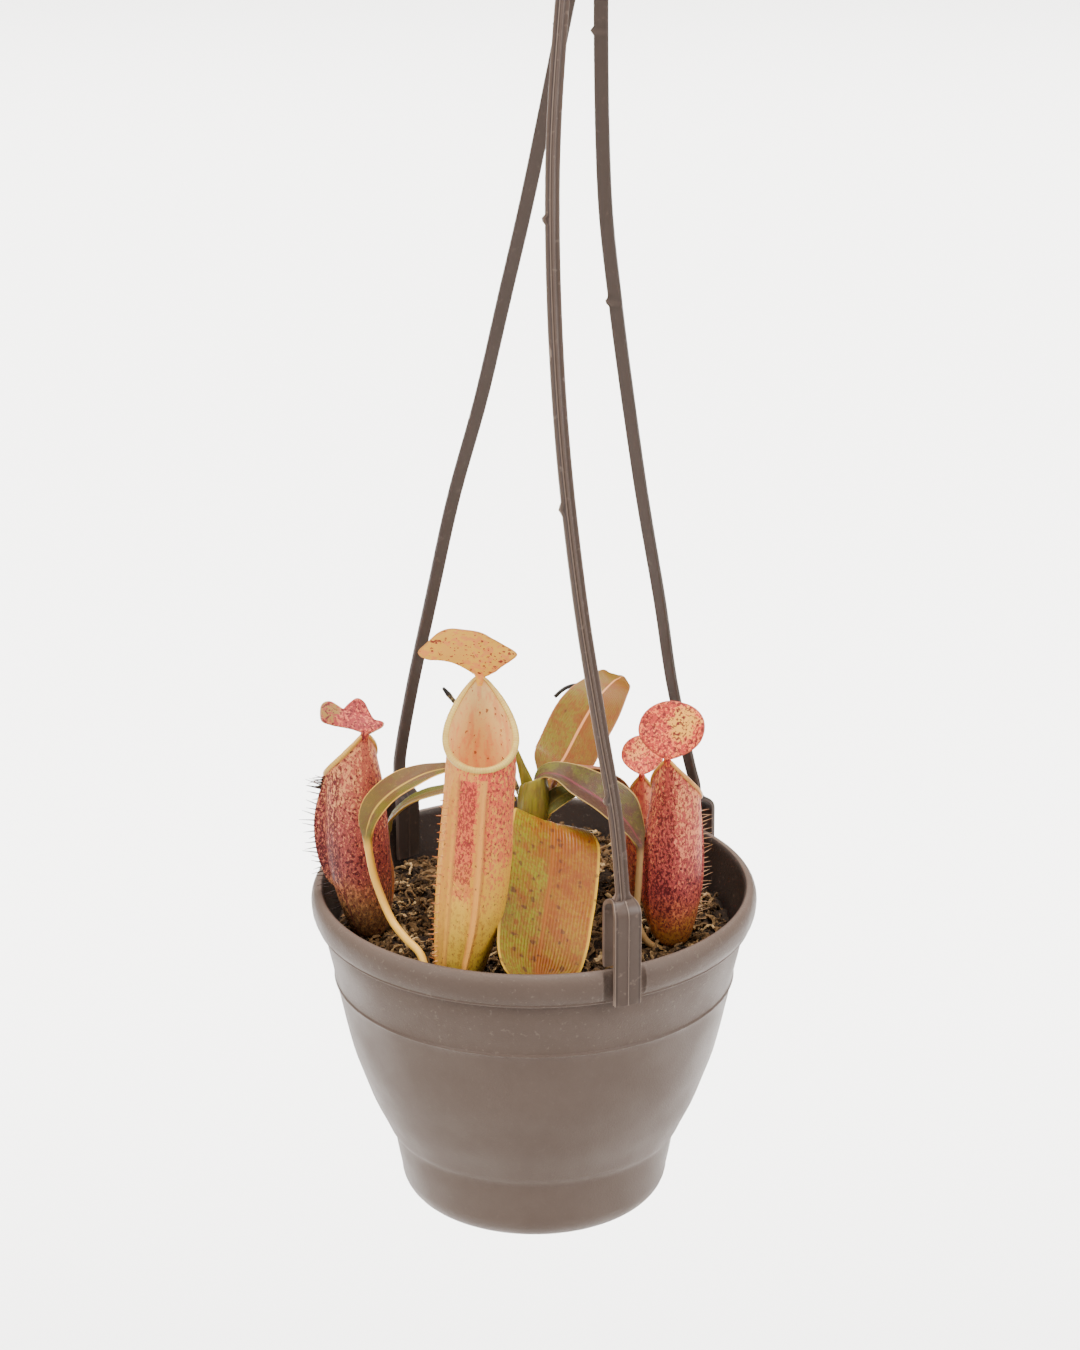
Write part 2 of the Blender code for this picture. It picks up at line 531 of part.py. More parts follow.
# Each route row is (x, y, z, half width, roundness, roll): the midrib, then the section there.
# Roundness 0 is a flat blade and 1 a round stalk. side points to the right-hand edge at the foot.
LEAVES = {
    "leaf_back": dict(
        route=[(2.0, 8.4, 140.0, 2.0, 0.6, 0), (5.2, 12.2, 140.9, 5.2, 0.15, 0),
               (7.8, 14.6, 144.3, 9.2, 0, 0), (10.2, 17.2, 146.9, 10.6, 0, 0),
               (15.4, 23.8, 154.9, 11.0, 0, 0), (20.7, 29.6, 161.9, 9.8, 0, 0),
               (25.7, 35.6, 165.3, 7.0, 0, 0), (27.9, 38.4, 165.5, 4.6, 0.05, 0),
               (28.6, 40.2, 164.7, 1.1, 0.8, 0)],
        tendril=[(25.8, 43.0, 162.2), (20.6, 43.5, 161.2), (14.5, 42.0, 162.2),
                 (10.2, 39.5, 162.0), (6.8, 37.5, 159.8)],
        thick=0.65, side=(0.79, -0.5, -0.25), fold=7, colour=(0.42, 0.2, 0.05, 1.0)),
    "leaf_right": dict(
        route=[(4.9, -0.8, 143.4, 1.7, 0.6, 0), (6.2, -1.4, 147.0, 3.0, 0.2, 0),
               (8.9, -2.8, 148.4, 5.2, 0, 0), (14.3, -4.8, 145.8, 7.4, 0, 0),
               (20.7, -8.2, 142.9, 9.0, 0, 0), (26.0, -11.6, 140.0, 8.4, 0, 0),
               (30.0, -14.6, 136.8, 5.8, 0, 0), (32.6, -17.0, 133.4, 3.5, 0.05, 0),
               (34.0, -18.6, 129.8, 1.3, 0.8, 0)],
        tendril=[(33.6, -19.8, 118.6), (33.2, -20.6, 107.0), (36.2, -20.4, 98.6),
                 (41.6, -17.0, 93.6)],
        thick=1.1, side=(-0.1, -0.9, -0.38), fold=22, colour=(0.2, 0.1, 0.08, 1.0)),
    "leaf_rear": dict(
        route=[(4.4, 2.8, 134.0, 1.6, 0.6, 0), (6.6, 3.4, 144.2, 2.0, 0.2, 0),
               (10.0, 4.8, 147.4, 3.3, 0, 0), (13.8, 5.6, 147.8, 4.0, 0, 0),
               (18.2, 6.2, 147.3, 4.2, 0, 0), (22.8, 7.2, 145.8, 4.1, 0, 0),
               (27.0, 9.0, 142.6, 3.6, 0, 0), (29.6, 10.6, 138.0, 2.4, 0.1, 0),
               (30.2, 11.2, 132.6, 1.1, 0.9, 0)],
        tendril=[(29.4, 11.4, 123.0), (28.6, 11.4, 112.0), (29.4, 12.8, 102.0),
                 (33.0, 15.6, 94.6)],
        thick=0.95, side=(0.0, -0.95, -0.2), fold=10, colour=(0.45, 0.22, 0.16, 1.0)),
    "leaf_small": dict(
        route=[(3.8, -3.8, 134.2, 1.5, 0.6, 0), (4.9, -4.0, 137.7, 2.7, 0.2, 0),
               (6.0, -3.4, 139.4, 3.9, 0, 0), (8.2, -2.6, 140.8, 4.1, 0, 0),
               (10.8, -1.0, 141.7, 3.4, 0, 0), (13.2, 0.8, 141.6, 2.1, 0, 0),
               (14.6, 2.2, 141.1, 0.9, 0.6, 0)],
        tendril=[], thick=0.8, side=(0.55, -0.8, -0.2), fold=16, colour=(0.2, 0.26, 0.08, 1.0)),
    "leaf_front": dict(
        route=[(0.0, -5.8, 128.6, 2.0, 0.6, 0), (0.8, -8.8, 134.0, 5.2, 0.2, 0),
               (5.3, -12.6, 138.0, 12.6, 0, 0), (6.1, -18.6, 135.0, 15.3, 0, 0),
               (5.7, -26.2, 129.4, 15.9, 0, 0), (4.7, -33.4, 123.4, 16.2, 0, 0),
               (3.5, -40.5, 117.6, 15.7, 0, 0), (2.1, -48.4, 111.2, 15.4, 0, 0),
               (0.9, -55.0, 105.4, 13.4, 0, 0), (0.9, -58.4, 100.6, 5.2, 0.1, 0)],
        tendril=[], thick=0.9, side=(-1.0, 0.0, -0.14), fold=6, colour=(0.55, 0.3, 0.06, 1.0)),
    "leaf_left": dict(
        route=[(-6.8, -1.0, 139.6, 1.8, 0.6, 0), (-9.8, -1.2, 145.4, 2.2, 0.3, 0),
               (-14.2, -3.0, 149.8, 2.0, 0.1, 0), (-23.1, -8.6, 154.2, 2.0, 0, 0),
               (-29.1, -12.0, 154.8, 3.0, 0, 0), (-34.8, -14.6, 154.2, 4.4, 0, 0),
               (-40.3, -17.2, 152.4, 5.4, 0, 0), (-45.6, -20.0, 149.8, 5.8, 0, 0),
               (-49.9, -22.6, 146.2, 5.6, 0, 0), (-52.2, -24.8, 142.0, 3.9, 0, 0),
               (-52.8, -26.8, 136.5, 1.7, 0.6, 0)],
        tendril=[(-51.4, -29.2, 127.4), (-48.6, -32.6, 119.6), (-45.0, -37.6, 113.4),
                 (-40.6, -44.2, 110.4), (-36.0, -50.2, 108.0), (-33.8, -54.8, 102.6),
                 (-31.6, -56.2, 97.6), (-28.6, -54.4, 94.6)],
        thick=1.3, side=(-0.35, 1.0, 0.2), fold=20, colour=(0.24, 0.16, 0.08, 1.0)),
    "leaf_left_low": dict(
        route=[(-6.8, 2.2, 133.0, 1.8, 0.6, 0), (-10.4, 3.0, 138.5, 3.0, 0.2, 0),
               (-16.8, 3.4, 141.2, 4.2, 0, 0), (-23.3, 3.4, 142.1, 4.9, 0, 0),
               (-29.5, 3.2, 141.2, 5.2, 0, 0), (-35.0, 2.8, 139.8, 5.2, 0, 0),
               (-40.2, 2.4, 137.5, 5.0, 0, 0), (-44.4, 2.2, 134.2, 4.4, 0, 0),
               (-46.9, 2.4, 130.6, 3.0, 0.05, 0), (-48.0, 3.0, 125.0, 1.4, 0.7, 0)],
        tendril=[(-47.8, 4.2, 118.6), (-46.8, 5.4, 111.0), (-47.2, 5.4, 102.0),
                 (-50.0, 1.6, 94.0)],
        thick=1.15, side=(-0.2, 1.0, 0.2), fold=6, colour=(0.22, 0.24, 0.07, 1.0)),
}
BLADE_COLUMNS = (-1.0, -0.5, 0.0, 0.5, 1.0)


def leaf_rings(leaf):
    """Return the rings of a blade that runs on into its tendril."""
    blade_steps = 2 * (len(leaf["route"]) - 1)
    rows = list(leaf["route"]) + [(*p, leaf["thick"], 1.0, 0.0) for p in leaf["tendril"]]
    rows = curve(rows, blade_steps + 2 * len(leaf["tendril"]))
    path = [Vector(row[:3]) for row in rows]
    side = Vector(leaf["side"])
    rings = []
    for row, along in zip(rows, tangents(path)):
        half, roundness = row[3], min(max(row[4], 0.0), 1.0)
        side = (side - side.dot(along) * along).normalized()
        up = side.cross(along)
        upper, lower = [], []
        for s in BLADE_COLUMNS:
            flat = BLADE / 2 + (MIDRIB - BLADE) / 2 * max(0.0, 1 - abs(s) / 0.5)
            full = half * max(math.sqrt(1 - s * s), 0.12)
            thick = flat + (full - flat) * roundness
            reach = half * math.sin(s * math.pi / 2) * roundness + half * s * (1 - roundness)
            lift = (1 - roundness) * half * abs(s) * math.tan(math.radians(leaf["fold"]))
            middle = Vector(row[:3]) + reach * side + lift * up
            upper.append(middle + thick * up)
            lower.append(middle - thick * up)
        rings.append(upper + lower[::-1])
    return rings


def build_leaf(name):
    leaf = LEAVES[name]
    build_mesh(name, *skin(leaf_rings(leaf), paired=True), leaf["colour"], 0.4, 50.0)


# ---------------------------------------------------------------- stem, dry tendril and moss

# Each row is (x, y, z, radius): the stem, the sheath round its crown, and the furled new leaf.
STEM = [(0.6, 3.0, STEM_FOOT, 3.0), (0.2, 2.2, 104.0, 3.1), (-0.4, 1.2, 118.0, 3.3),
        (-0.8, 0.5, 128.0, 3.9), (-1.0, 0.3, 136.0, 4.1), (-1.1, 0.2, 142.0, 3.4),
        (-1.6, -0.6, 147.0, 2.2), (-3.4, -2.6, 153.0, 1.7), (-6.0, -4.6, 159.4, 1.1),
        (-8.0, -6.0, 164.2, 0.45)]
DRY_TENDRIL = [(-4.6, 4.6, 139.0, 0.9), (-9.0, 6.0, 149.6, 0.7), (-16.5, 4.4, 160.4, 0.6),
               (-23.4, 1.4, 170.2, 0.6), (-29.1, 0.0, 178.3, 0.75)]
MOSS_INSET = 0.7             # the bed stands off the pot, whose sides it doesn't share
MOSS_RINGS = 10
MOSS_SIDES = 36
MOSS_SEED = 7
MOSS_MOUND = (12.0, 48.0)    # where the bed stands highest, near the back of the lip
MOSS_RISE = 8.0
MOSS_SPREAD = 20.0
MOSS_SHOULDER = (58.0, 8.0, 2.5)  # radius where the bed turns down, and its run and drop there
CUP_BED = (2.4, 40.0)        # depth below a pitcher's bottom, and how flat the dish there is
TENDRIL_BED = (3.0, 50.0)
STEM_HOLE = (3.9, 14.0)      # radius and depth of the hole that the stem stands in


def build_stem():
    rows = curve(STEM, 18)
    path = [Vector(row[:3]) for row in rows]
    build_mesh("stem", *skin(rod(path, [row[3] for row in rows], 10)), STEM_GREEN, 0.45, 60.0)


def build_dry_tendril():
    rows = curve(DRY_TENDRIL, 10)
    path = [Vector(row[:3]) for row in rows]
    rings = rod(path, [row[3] for row in rows], 6)
    build_mesh("dry_tendril", *skin(rings), DRY_BROWN, 0.8, 60.0)


def moss_height(x, y, draw):
    """Return the height of the bed, dished under each pitcher that rests in it."""
    ripple = math.sin(0.46 * x + 1.3) * math.sin(0.52 * y - 0.7) + 0.6 * math.sin(0.9 * x - 0.8 * y)
    height = MOSS_LEVEL + MOSS_RELIEF * (0.5 * ripple + draw.uniform(-0.7, 0.7))
    mound_x, mound_y = MOSS_MOUND
    height += MOSS_RISE * math.exp(-((x - mound_x) ** 2 + (y - mound_y) ** 2) / MOSS_SPREAD ** 2)
    edge, run, drop = MOSS_SHOULDER
    height -= drop * max(0.0, math.hypot(x, y) - edge) / run
    beds = [(spec["body"][0], CUP_BED) for spec in PITCHERS.values()]
    beds += [(row, TENDRIL_BED) for leaf in LEAVES.values() for row in leaf["tendril"]
             if row[2] < MOSS_LEVEL + 4.0]
    for place, (depth, flatness) in beds:
        away = (x - place[0]) ** 2 + (y - place[1]) ** 2
        height = min(height, place[2] - depth + away / flatness)
    return height


def build_moss():
    """Fill the pot with a bed whose foot follows the pot's inside and whose top is uneven."""
    draw = random.Random(MOSS_SEED)
    inside = [(r - MOSS_INSET, z + (GAP if z < FOOT_ROUNDING else 0.0))
              for r, z in pot_profile()[-9:]]
    inside[0] = (inside[0][0] - 1.0, MOSS_LEVEL - 6.0)
    rings = []
    for radius, height in inside[::-1]:
        rings.append([heading(360.0 * k / MOSS_SIDES) * radius + Vector((0, 0, height))
                      for k in range(MOSS_SIDES)])
    top_radius = inside[0][0]
    for i in range(MOSS_RINGS):
        radius = top_radius * (1 - (i + 0.3) / MOSS_RINGS)
        ring = []
        for k in range(MOSS_SIDES):
            place = heading(360.0 * (k + 0.5 * (i % 2)) / MOSS_SIDES) * radius
            ring.append(Vector((place.x, place.y, moss_height(place.x, place.y, draw))))
        rings.append(ring)
    moss = build_mesh("moss_bed", *skin(rings), MOSS_BROWN, 0.95, 180.0)
    foot = Vector(STEM[0][:3])
    radius, depth = STEM_HOLE
    hole = [foot - Vector((0, 0, GAP)), foot + Vector((0, 0, depth))]
    cutter = build_mesh("hole", *skin(rod(hole, [radius] * 2, 12)), MOSS_BROWN)
    combine(moss, cutter, "DIFFERENCE")


clear_scene()
build_pot()
build_moss()
for strap_place in CLIP_TURNS:
    build_strap(strap_place)
build_hook()
build_stem()
build_dry_tendril()
for leaf_name in LEAVES:
    build_leaf(leaf_name)
for pitcher_name in PITCHERS:
    build_pitcher(pitcher_name)
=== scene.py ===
"""The looks of a pitcher plant in a moulded plastic hanging pot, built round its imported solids.

Sizes are in millimetres where a name or a comment doesn't say otherwise, and MM turns them into
metres. Up is +Z, the front is -Y, and a turn is an angle from the front towards +X.
"""

import json
import math
import random

import bmesh
import bpy
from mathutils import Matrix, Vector, noise

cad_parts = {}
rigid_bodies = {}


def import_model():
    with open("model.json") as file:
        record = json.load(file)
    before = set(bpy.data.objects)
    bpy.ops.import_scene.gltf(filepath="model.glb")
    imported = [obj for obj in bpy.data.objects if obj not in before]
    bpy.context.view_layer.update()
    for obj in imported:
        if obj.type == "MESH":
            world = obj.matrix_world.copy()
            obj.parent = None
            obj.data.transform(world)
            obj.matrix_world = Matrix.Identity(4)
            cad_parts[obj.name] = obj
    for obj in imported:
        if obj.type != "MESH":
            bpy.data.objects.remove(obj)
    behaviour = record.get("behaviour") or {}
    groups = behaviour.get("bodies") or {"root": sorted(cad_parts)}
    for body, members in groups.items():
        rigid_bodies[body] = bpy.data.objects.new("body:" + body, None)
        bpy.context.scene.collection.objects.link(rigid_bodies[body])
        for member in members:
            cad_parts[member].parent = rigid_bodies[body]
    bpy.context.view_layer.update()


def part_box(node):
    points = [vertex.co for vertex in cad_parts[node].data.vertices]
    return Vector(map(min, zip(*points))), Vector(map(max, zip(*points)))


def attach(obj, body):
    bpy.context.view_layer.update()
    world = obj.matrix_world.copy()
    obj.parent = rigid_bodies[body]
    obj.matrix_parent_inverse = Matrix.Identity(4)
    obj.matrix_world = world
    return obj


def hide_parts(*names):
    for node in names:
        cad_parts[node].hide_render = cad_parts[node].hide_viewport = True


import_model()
MM = 0.001


# ---------------------------------------------------------------- studio
# The pot hangs in a pale studio, well above a plain light floor. Broad soft windows stand on
# both sides, a weaker one overhead, and a narrow lamp whitens the floor behind the pot.

FLOOR_DEPTH = 0.42           # metres from the pot's underside down to the floor
FLOOR_REACH = 9.0
CAMERA_PLACE = (0.00195, -1.45708, 0.77443)
CAMERA_DIP = 22.1            # degrees that the view looks down
CAMERA_LENS, CAMERA_SENSOR = 131.0, 36.0
SKY_STRENGTH = 0.34


def put_in_scene(name, data):
    made = bpy.data.objects.new(name, data)
    bpy.context.scene.collection.objects.link(made)
    return made


camera_data = bpy.data.cameras.new("camera")
camera_data.sensor_fit = "VERTICAL"
camera_data.sensor_height = CAMERA_SENSOR
camera_data.lens = CAMERA_LENS
camera = put_in_scene("camera", camera_data)
camera.location = CAMERA_PLACE
camera.rotation_euler = (math.radians(90.0 - CAMERA_DIP), 0.0, 0.0)
bpy.context.scene.camera = camera


def window_light(name, place, aim, size, power, colour, spread=180.0):
    """Light the studio with a broad lamp. Its place, aim and size are in metres."""
    lamp = bpy.data.lights.new(name, "AREA")
    lamp.shape = "RECTANGLE"
    lamp.size, lamp.size_y = size
    lamp.energy = power
    lamp.color = colour
    lamp.spread = math.radians(spread)
    holder = put_in_scene(name, lamp)
    holder.location = place
    holder.rotation_euler = (Vector(aim) - Vector(place)).to_track_quat("-Z", "Y").to_euler()


PLANT_MIDDLE = (0.0, 0.0, 0.10)
window_light("window_left", (-1.35, -0.95, 1.05), PLANT_MIDDLE, (0.9, 1.4), 29.0,
             (1.0, 0.985, 0.96))
window_light("window_right", (1.45, -0.75, 0.90), PLANT_MIDDLE, (0.9, 1.4), 26.0,
             (0.98, 0.985, 1.0))
window_light("window_above", (0.0, -0.55, 1.70), PLANT_MIDDLE, (1.1, 0.8), 11.0,
             (1.0, 0.99, 0.97))
window_light("floor_lamp", (0.0, 1.95, 2.4), (0.0, 1.95, -FLOOR_DEPTH), (2.8, 3.3), 180.0,
             (1.0, 0.99, 0.975), 40.0)

world = bpy.data.worlds.new("studio")
world.use_nodes = True
background = world.node_tree.nodes["Background"]
background.inputs["Color"].default_value = (1.0, 0.985, 0.965, 1.0)
background.inputs["Strength"].default_value = SKY_STRENGTH
bpy.context.scene.world = world


def paint(name, colour, roughness, **values):
    """Return a new material with its node tree and its Principled shader."""
    material = bpy.data.materials.new(name)
    material.use_nodes = True
    shader = material.node_tree.nodes["Principled BSDF"]
    shader.inputs["Base Color"].default_value = (*colour, 1.0)
    shader.inputs["Roughness"].default_value = roughness
    for socket, value in values.items():
        shader.inputs[socket.replace("_", " ")].default_value = value
    return material, material.node_tree, shader


floor_mesh = bpy.data.meshes.new("floor")
floor_mesh.from_pydata([(x * FLOOR_REACH, y * FLOOR_REACH, -FLOOR_DEPTH)
                        for x, y in ((-1, -1), (1, -1), (1, 1), (-1, 1))], [], [(0, 1, 2, 3)])
floor_mesh.materials.append(paint("floor_paint", (0.90, 0.89, 0.875), 0.9)[0])
studio_floor = put_in_scene("floor", floor_mesh)


# ---------------------------------------------------------------- pot
# One injection-moulded polypropylene pot: a rounded foot, a bowl with a fine raised line, and a
# thick rolled lip that is pressed in where each clip grips it. Water drains through six holes.

pot_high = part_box("pot")[1]
LIP_RADIUS = pot_high.x / MM
POT_HEIGHT = pot_high.z / MM
CLIP_TURNS = {"front": 23.4, "right": 129.5, "left": 220.6}
NOTCH_WIDTH = 13.0
NOTCH_DEPTH = 1.5
NOTCH_ROUNDING = 1.6         # length over which the lip rounds off into a notch
FOOT_RADIUS, FOOT_ROUNDING = 44.0, 10.0
WALL, POT_FLOOR = 1.9, 2.2
DRAIN_HOLES, DRAIN_RADIUS, DRAIN_CIRCLE = 6, 2.0, 26.0
POT_COLUMNS = 180
POT_SHARP = 35.0             # degrees from which an edge of the pot is left sharp
GRAIN_CLOUD = 26.0           # size of the faint clouds in the plastic's colour
UP = Vector((0, 0, 1))
POT_TAUPE = (0.150, 0.104, 0.080)
POT_WORN = (0.300, 0.228, 0.185)
POT_SHADE = (0.118, 0.080, 0.060)


def sine(degrees):
    return math.sin(math.radians(degrees))


def cosine(degrees):
    return math.cos(math.radians(degrees))


def heading(turn):
    """Return the level unit vector at a turn from the front towards +X."""
    return Vector((sine(turn), -cosine(turn), 0.0))


def apart(turn, other):
    """Return how many degrees lie between two turns."""
    return abs((turn - other + 180.0) % 360.0 - 180.0)


def between(knots, t):
    """Return the point at t, from 0 to 1, on a smooth curve between the middle two of four."""
    a, b, c, d = knots
    return 0.5 * (2 * b + (c - a) * t + (2 * a - 5 * b + 4 * c - d) * t ** 2
                  + (3 * b - a - 3 * c + d) * t ** 3)


def smooth_route(rows, steps):
    """Return steps + 1 rows on a smooth curve through the given rows."""
    knots = [Vector(row) for row in rows]
    knots = [2 * knots[0] - knots[1]] + knots + [2 * knots[-1] - knots[-2]]
    spans = len(rows) - 1
    result = []
    for step in range(steps + 1):
        span = min(step * spans // steps, spans - 1)
        result.append(between(knots[span:span + 4], step * spans / steps - span))
    return result


def loft(rings, around=None, along=None):
    """Skin closed rings, fan both ends, and return the points, faces and face-corner UVs.

    around gives U for each place round a ring, with one more for its closing seam, and along
    gives V for each ring.
    """
    count = len(rings[0])
    around = around or [k / count for k in range(count + 1)]
    along = along or [i / (len(rings) - 1) for i in range(len(rings))]
    points = [Vector(p) for ring in rings for p in ring]
    faces, corners = [], []
    for i in range(len(rings) - 1):
        for k in range(count):
            a, b = i * count + k, i * count + (k + 1) % count
            faces.append((a, b, b + count, a + count))
            corners += [(around[k], along[i]), (around[k + 1], along[i]),
                        (around[k + 1], along[i + 1]), (around[k], along[i + 1])]
    for i in (0, len(rings) - 1):
        points.append(sum((Vector(p) for p in rings[i]), Vector((0, 0, 0))) / count)
        for k in range(count):
            a, b = i * count + k, i * count + (k + 1) % count
            turned = i == 0
            faces.append((b, a, len(points) - 1) if turned else (a, b, len(points) - 1))
            pair = [(around[k + 1], along[i]), (around[k], along[i])]
            corners += (pair if turned else pair[::-1]) + [(around[k], along[i])]
    return points, faces, corners


def mould(name, shape, materials, sharp=40.0, slots=None):
    """Turn a loft's points, faces and UVs, in millimetres, into one smooth closed piece."""
    points, faces, corners = shape
    mesh = bpy.data.meshes.new(name)
    mesh.from_pydata([p * MM for p in points], [], faces)
    layer = mesh.uv_layers.new(name="UVMap")
    layer.data.foreach_set("uv", [value for corner in corners for value in corner])
    for material in materials:
        mesh.materials.append(material)
    if slots:
        mesh.polygons.foreach_set("material_index", slots)
    shell = bmesh.new()
    shell.from_mesh(mesh)
    bmesh.ops.recalc_face_normals(shell, faces=shell.faces)
    shell.to_mesh(mesh)
    shell.free()
    mesh.shade_smooth()
    mesh.set_sharp_from_angle(angle=math.radians(sharp))
    return put_in_scene(name, mesh)


def settle(piece):
    """Apply a piece's modifiers, so that a plain mesh is left."""
    bpy.context.view_layer.update()
    finished = bpy.data.meshes.new_from_object(
        piece.evaluated_get(bpy.context.evaluated_depsgraph_get()))
    piece.modifiers.clear()
    piece.data = finished


def carve(piece, tool, operation, sharp=40.0):
    """Join a helper to a piece, or cut it away, and drop the helper."""
    change = piece.modifiers.new(operation.title(), "BOOLEAN")
    change.operation = operation
    change.solver = "EXACT"
    change.object = tool
    settle(piece)
    piece.data.set_sharp_from_angle(angle=math.radians(sharp))
    bpy.data.objects.remove(tool, do_unlink=True)


def stand_for(piece, slot_name, *nodes):
    """Let a finished piece ride on the plant's one body and stand for its plain solids."""
    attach(piece, "root")
    if nodes:
        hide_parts(*nodes)


def add_node(tree, kind, inputs=None, **settings):
    """Add a shader node, set it up, and feed its inputs with values or other nodes' outputs."""
    made = tree.nodes.new(kind)
    for key, value in settings.items():
        setattr(made, key, value)
    for key, value in (inputs or {}).items():
        if isinstance(value, bpy.types.NodeSocket):
            tree.links.new(value, made.inputs[key])
        else:
            made.inputs[key].default_value = value
    return made


def reckon(tree, operation, *values):
    return add_node(tree, "ShaderNodeMath", dict(enumerate(values)),
                    operation=operation).outputs[0]


def fade(tree, value, low, high, least=0.0, most=1.0):
    """Return least below low and most above high, with a soft change between them."""
    return add_node(tree, "ShaderNodeMapRange", {
        "Value": value, "From Min": low, "From Max": high, "To Min": least, "To Max": most},
        interpolation_type="SMOOTHSTEP").outputs[0]


def tint(tree, share, under, over):
    """Lay one colour over another, as far as share says."""
    under, over = [(*tone, 1.0) if isinstance(tone, tuple) else tone for tone in (under, over)]
    return add_node(tree, "ShaderNodeMix", {0: share, 6: under, 7: over},
                    data_type="RGBA").outputs[2]


def glaze(tree, mask, share, under, over):
    """Lay one colour over another where mask says, at most as far as share says."""
    return tint(tree, reckon(tree, "MULTIPLY", mask, share), under, over)


def object_place(tree):
    return add_node(tree, "ShaderNodeTexCoord").outputs["Object"]


def part_of(tree, vector, axis):
    return add_node(tree, "ShaderNodeSeparateXYZ", {"Vector": vector}).outputs[axis]


def skin_uv(tree):
    uv = add_node(tree, "ShaderNodeUVMap", uv_map="UVMap").outputs["UV"]
    return part_of(tree, uv, "X"), part_of(tree, uv, "Y")


def grit(tree, place, scale, detail):
    """Return noise of about scale grains to the metre."""
    return add_node(tree, "ShaderNodeTexNoise", {
        "Vector": place, "Scale": scale, "Detail": detail}).outputs["Fac"]


def dress(tree, shader, colour, height=None, strength=1.0, depth=0.1):
    """Give a shader its colour and, where there is a height, bumps of a depth in millimetres."""
    tree.links.new(colour, shader.inputs["Base Color"])
    if height:
        bump = add_node(tree, "ShaderNodeBump", {
            "Strength": strength, "Distance": depth * MM, "Height": height})
        tree.links.new(bump.outputs["Normal"], shader.inputs["Normal"])


def new_group(name, kind, inputs, outputs):
    """Return a new node group with its inlet and outlet. Sockets are given as name: type."""
    group = bpy.data.node_groups.new(name, kind)
    for way, sockets in (("INPUT", inputs), ("OUTPUT", outputs)):
        for label, sort in sockets.items():
            group.interface.new_socket(label, in_out=way, socket_type="NodeSocket" + sort)
    return group, group.nodes.new("NodeGroupInput"), group.nodes.new("NodeGroupOutput")


def floats(*names):
    return dict.fromkeys(names, "Float")


def grain_group():
    """A moulded plastic's eggshell grain, its faint cloudiness, and the dust that it holds."""
    group, inlet, outlet = new_group("moulded_grain", "ShaderNodeTree",
                                     floats("Grain Size", "Cloud Size"),
                                     floats("Height", "Cloud", "Dust"))
    place = object_place(group)
    fine_scale = reckon(group, "DIVIDE", 1.0 / MM, inlet.outputs["Grain Size"])
    wide_scale = reckon(group, "DIVIDE", 1.0 / MM, inlet.outputs["Cloud Size"])
    fine = add_node(group, "ShaderNodeTexNoise",
                    {"Vector": place, "Scale": fine_scale, "Detail": 3.0, "Roughness": 0.65})
    pits = add_node(group, "ShaderNodeTexVoronoi", {"Vector": place, "Scale": fine_scale})
    wide = add_node(group, "ShaderNodeTexNoise",
                    {"Vector": place, "Scale": wide_scale, "Detail": 4.0, "Roughness": 0.6})
    specks = grit(group, place, reckon(group, "MULTIPLY", fine_scale, 0.45), 2.0)
    height = reckon(group, "ADD", fine.outputs["Fac"],
                    reckon(group, "MULTIPLY", pits.outputs["Distance"], 0.5))
    group.links.new(height, outlet.inputs["Height"])
    group.links.new(fade(group, wide.outputs["Fac"], 0.3, 0.7), outlet.inputs["Cloud"])
    group.links.new(fade(group, specks, 0.62, 0.74), outlet.inputs["Dust"])
    return group


MOULDED_GRAIN = grain_group()


def moulded_plastic(name, grain_size, relief, base, worn, shade, roughness, band=None,
                    lines=(), inner_shade=None):
    """Taupe plastic. band is (low, high): the grain deepens between those heights.

    lines are (U, half width, colour, share) along a band: painted shade and painted highlights.
    inner_shade is painted shade over an inner wall.
    """
    material, tree, shader = paint(name, base, roughness, Specular_IOR_Level=0.30)
    grain = add_node(tree, "ShaderNodeGroup", {
        "Grain Size": grain_size, "Cloud Size": GRAIN_CLOUD}, node_tree=MOULDED_GRAIN)
    shape = add_node(tree, "ShaderNodeNewGeometry")
    place = object_place(tree)
    height = part_of(tree, place, "Z")
    colour = glaze(tree, grain.outputs["Cloud"], 0.35, base, shade)
    colour = tint(tree, fade(tree, shape.outputs["Pointiness"], 0.52, 0.60, 0.0, 0.55), colour,
                  worn)
    across = skin_uv(tree)[0]
    # Lines of painted shade in grooves and painted highlight on ribs, rims and one face.
    for centre, half, over, share in lines:
        away = reckon(tree, "ABSOLUTE", reckon(tree, "SUBTRACT", across, centre))
        colour = tint(tree, fade(tree, away, 1.3 * half, 0.7 * half, 0.0, share), colour, over)
    # Painted shade over the inner wall.
    if inner_shade:
        facing = shape.outputs["Normal"]
        outward = add_node(tree, "ShaderNodeVectorMath", {0: place, 1: facing},
                           operation="DOT_PRODUCT").outputs["Value"]
        level = reckon(tree, "MULTIPLY", height, part_of(tree, facing, "Z"))
        outward = reckon(tree, "SUBTRACT", outward, level)
        inside = fade(tree, outward, -25.0 * MM, -45.0 * MM, 0.0, 0.85)
        colour = tint(tree, inside, colour, inner_shade)
    strength = 0.55
    dusty = reckon(tree, "MULTIPLY", grain.outputs["Dust"], 0.22)
    if band:
        coarse = fade(tree, height, (band[0] - 1.5) * MM, band[0] * MM)
        strength = reckon(tree, "ADD", reckon(tree, "MULTIPLY", coarse, 0.5), 0.3)
        dusty = reckon(tree, "MULTIPLY", dusty, reckon(tree, "ADD", coarse, 0.25))
    colour = tint(tree, dusty, colour, worn)
    uneven = reckon(tree, "MULTIPLY_ADD", grain.outputs["Cloud"], 0.14, roughness - 0.07)
    tree.links.new(uneven, shader.inputs["Roughness"])
    dress(tree, shader, colour, grain.outputs["Height"], strength, relief)
    return material


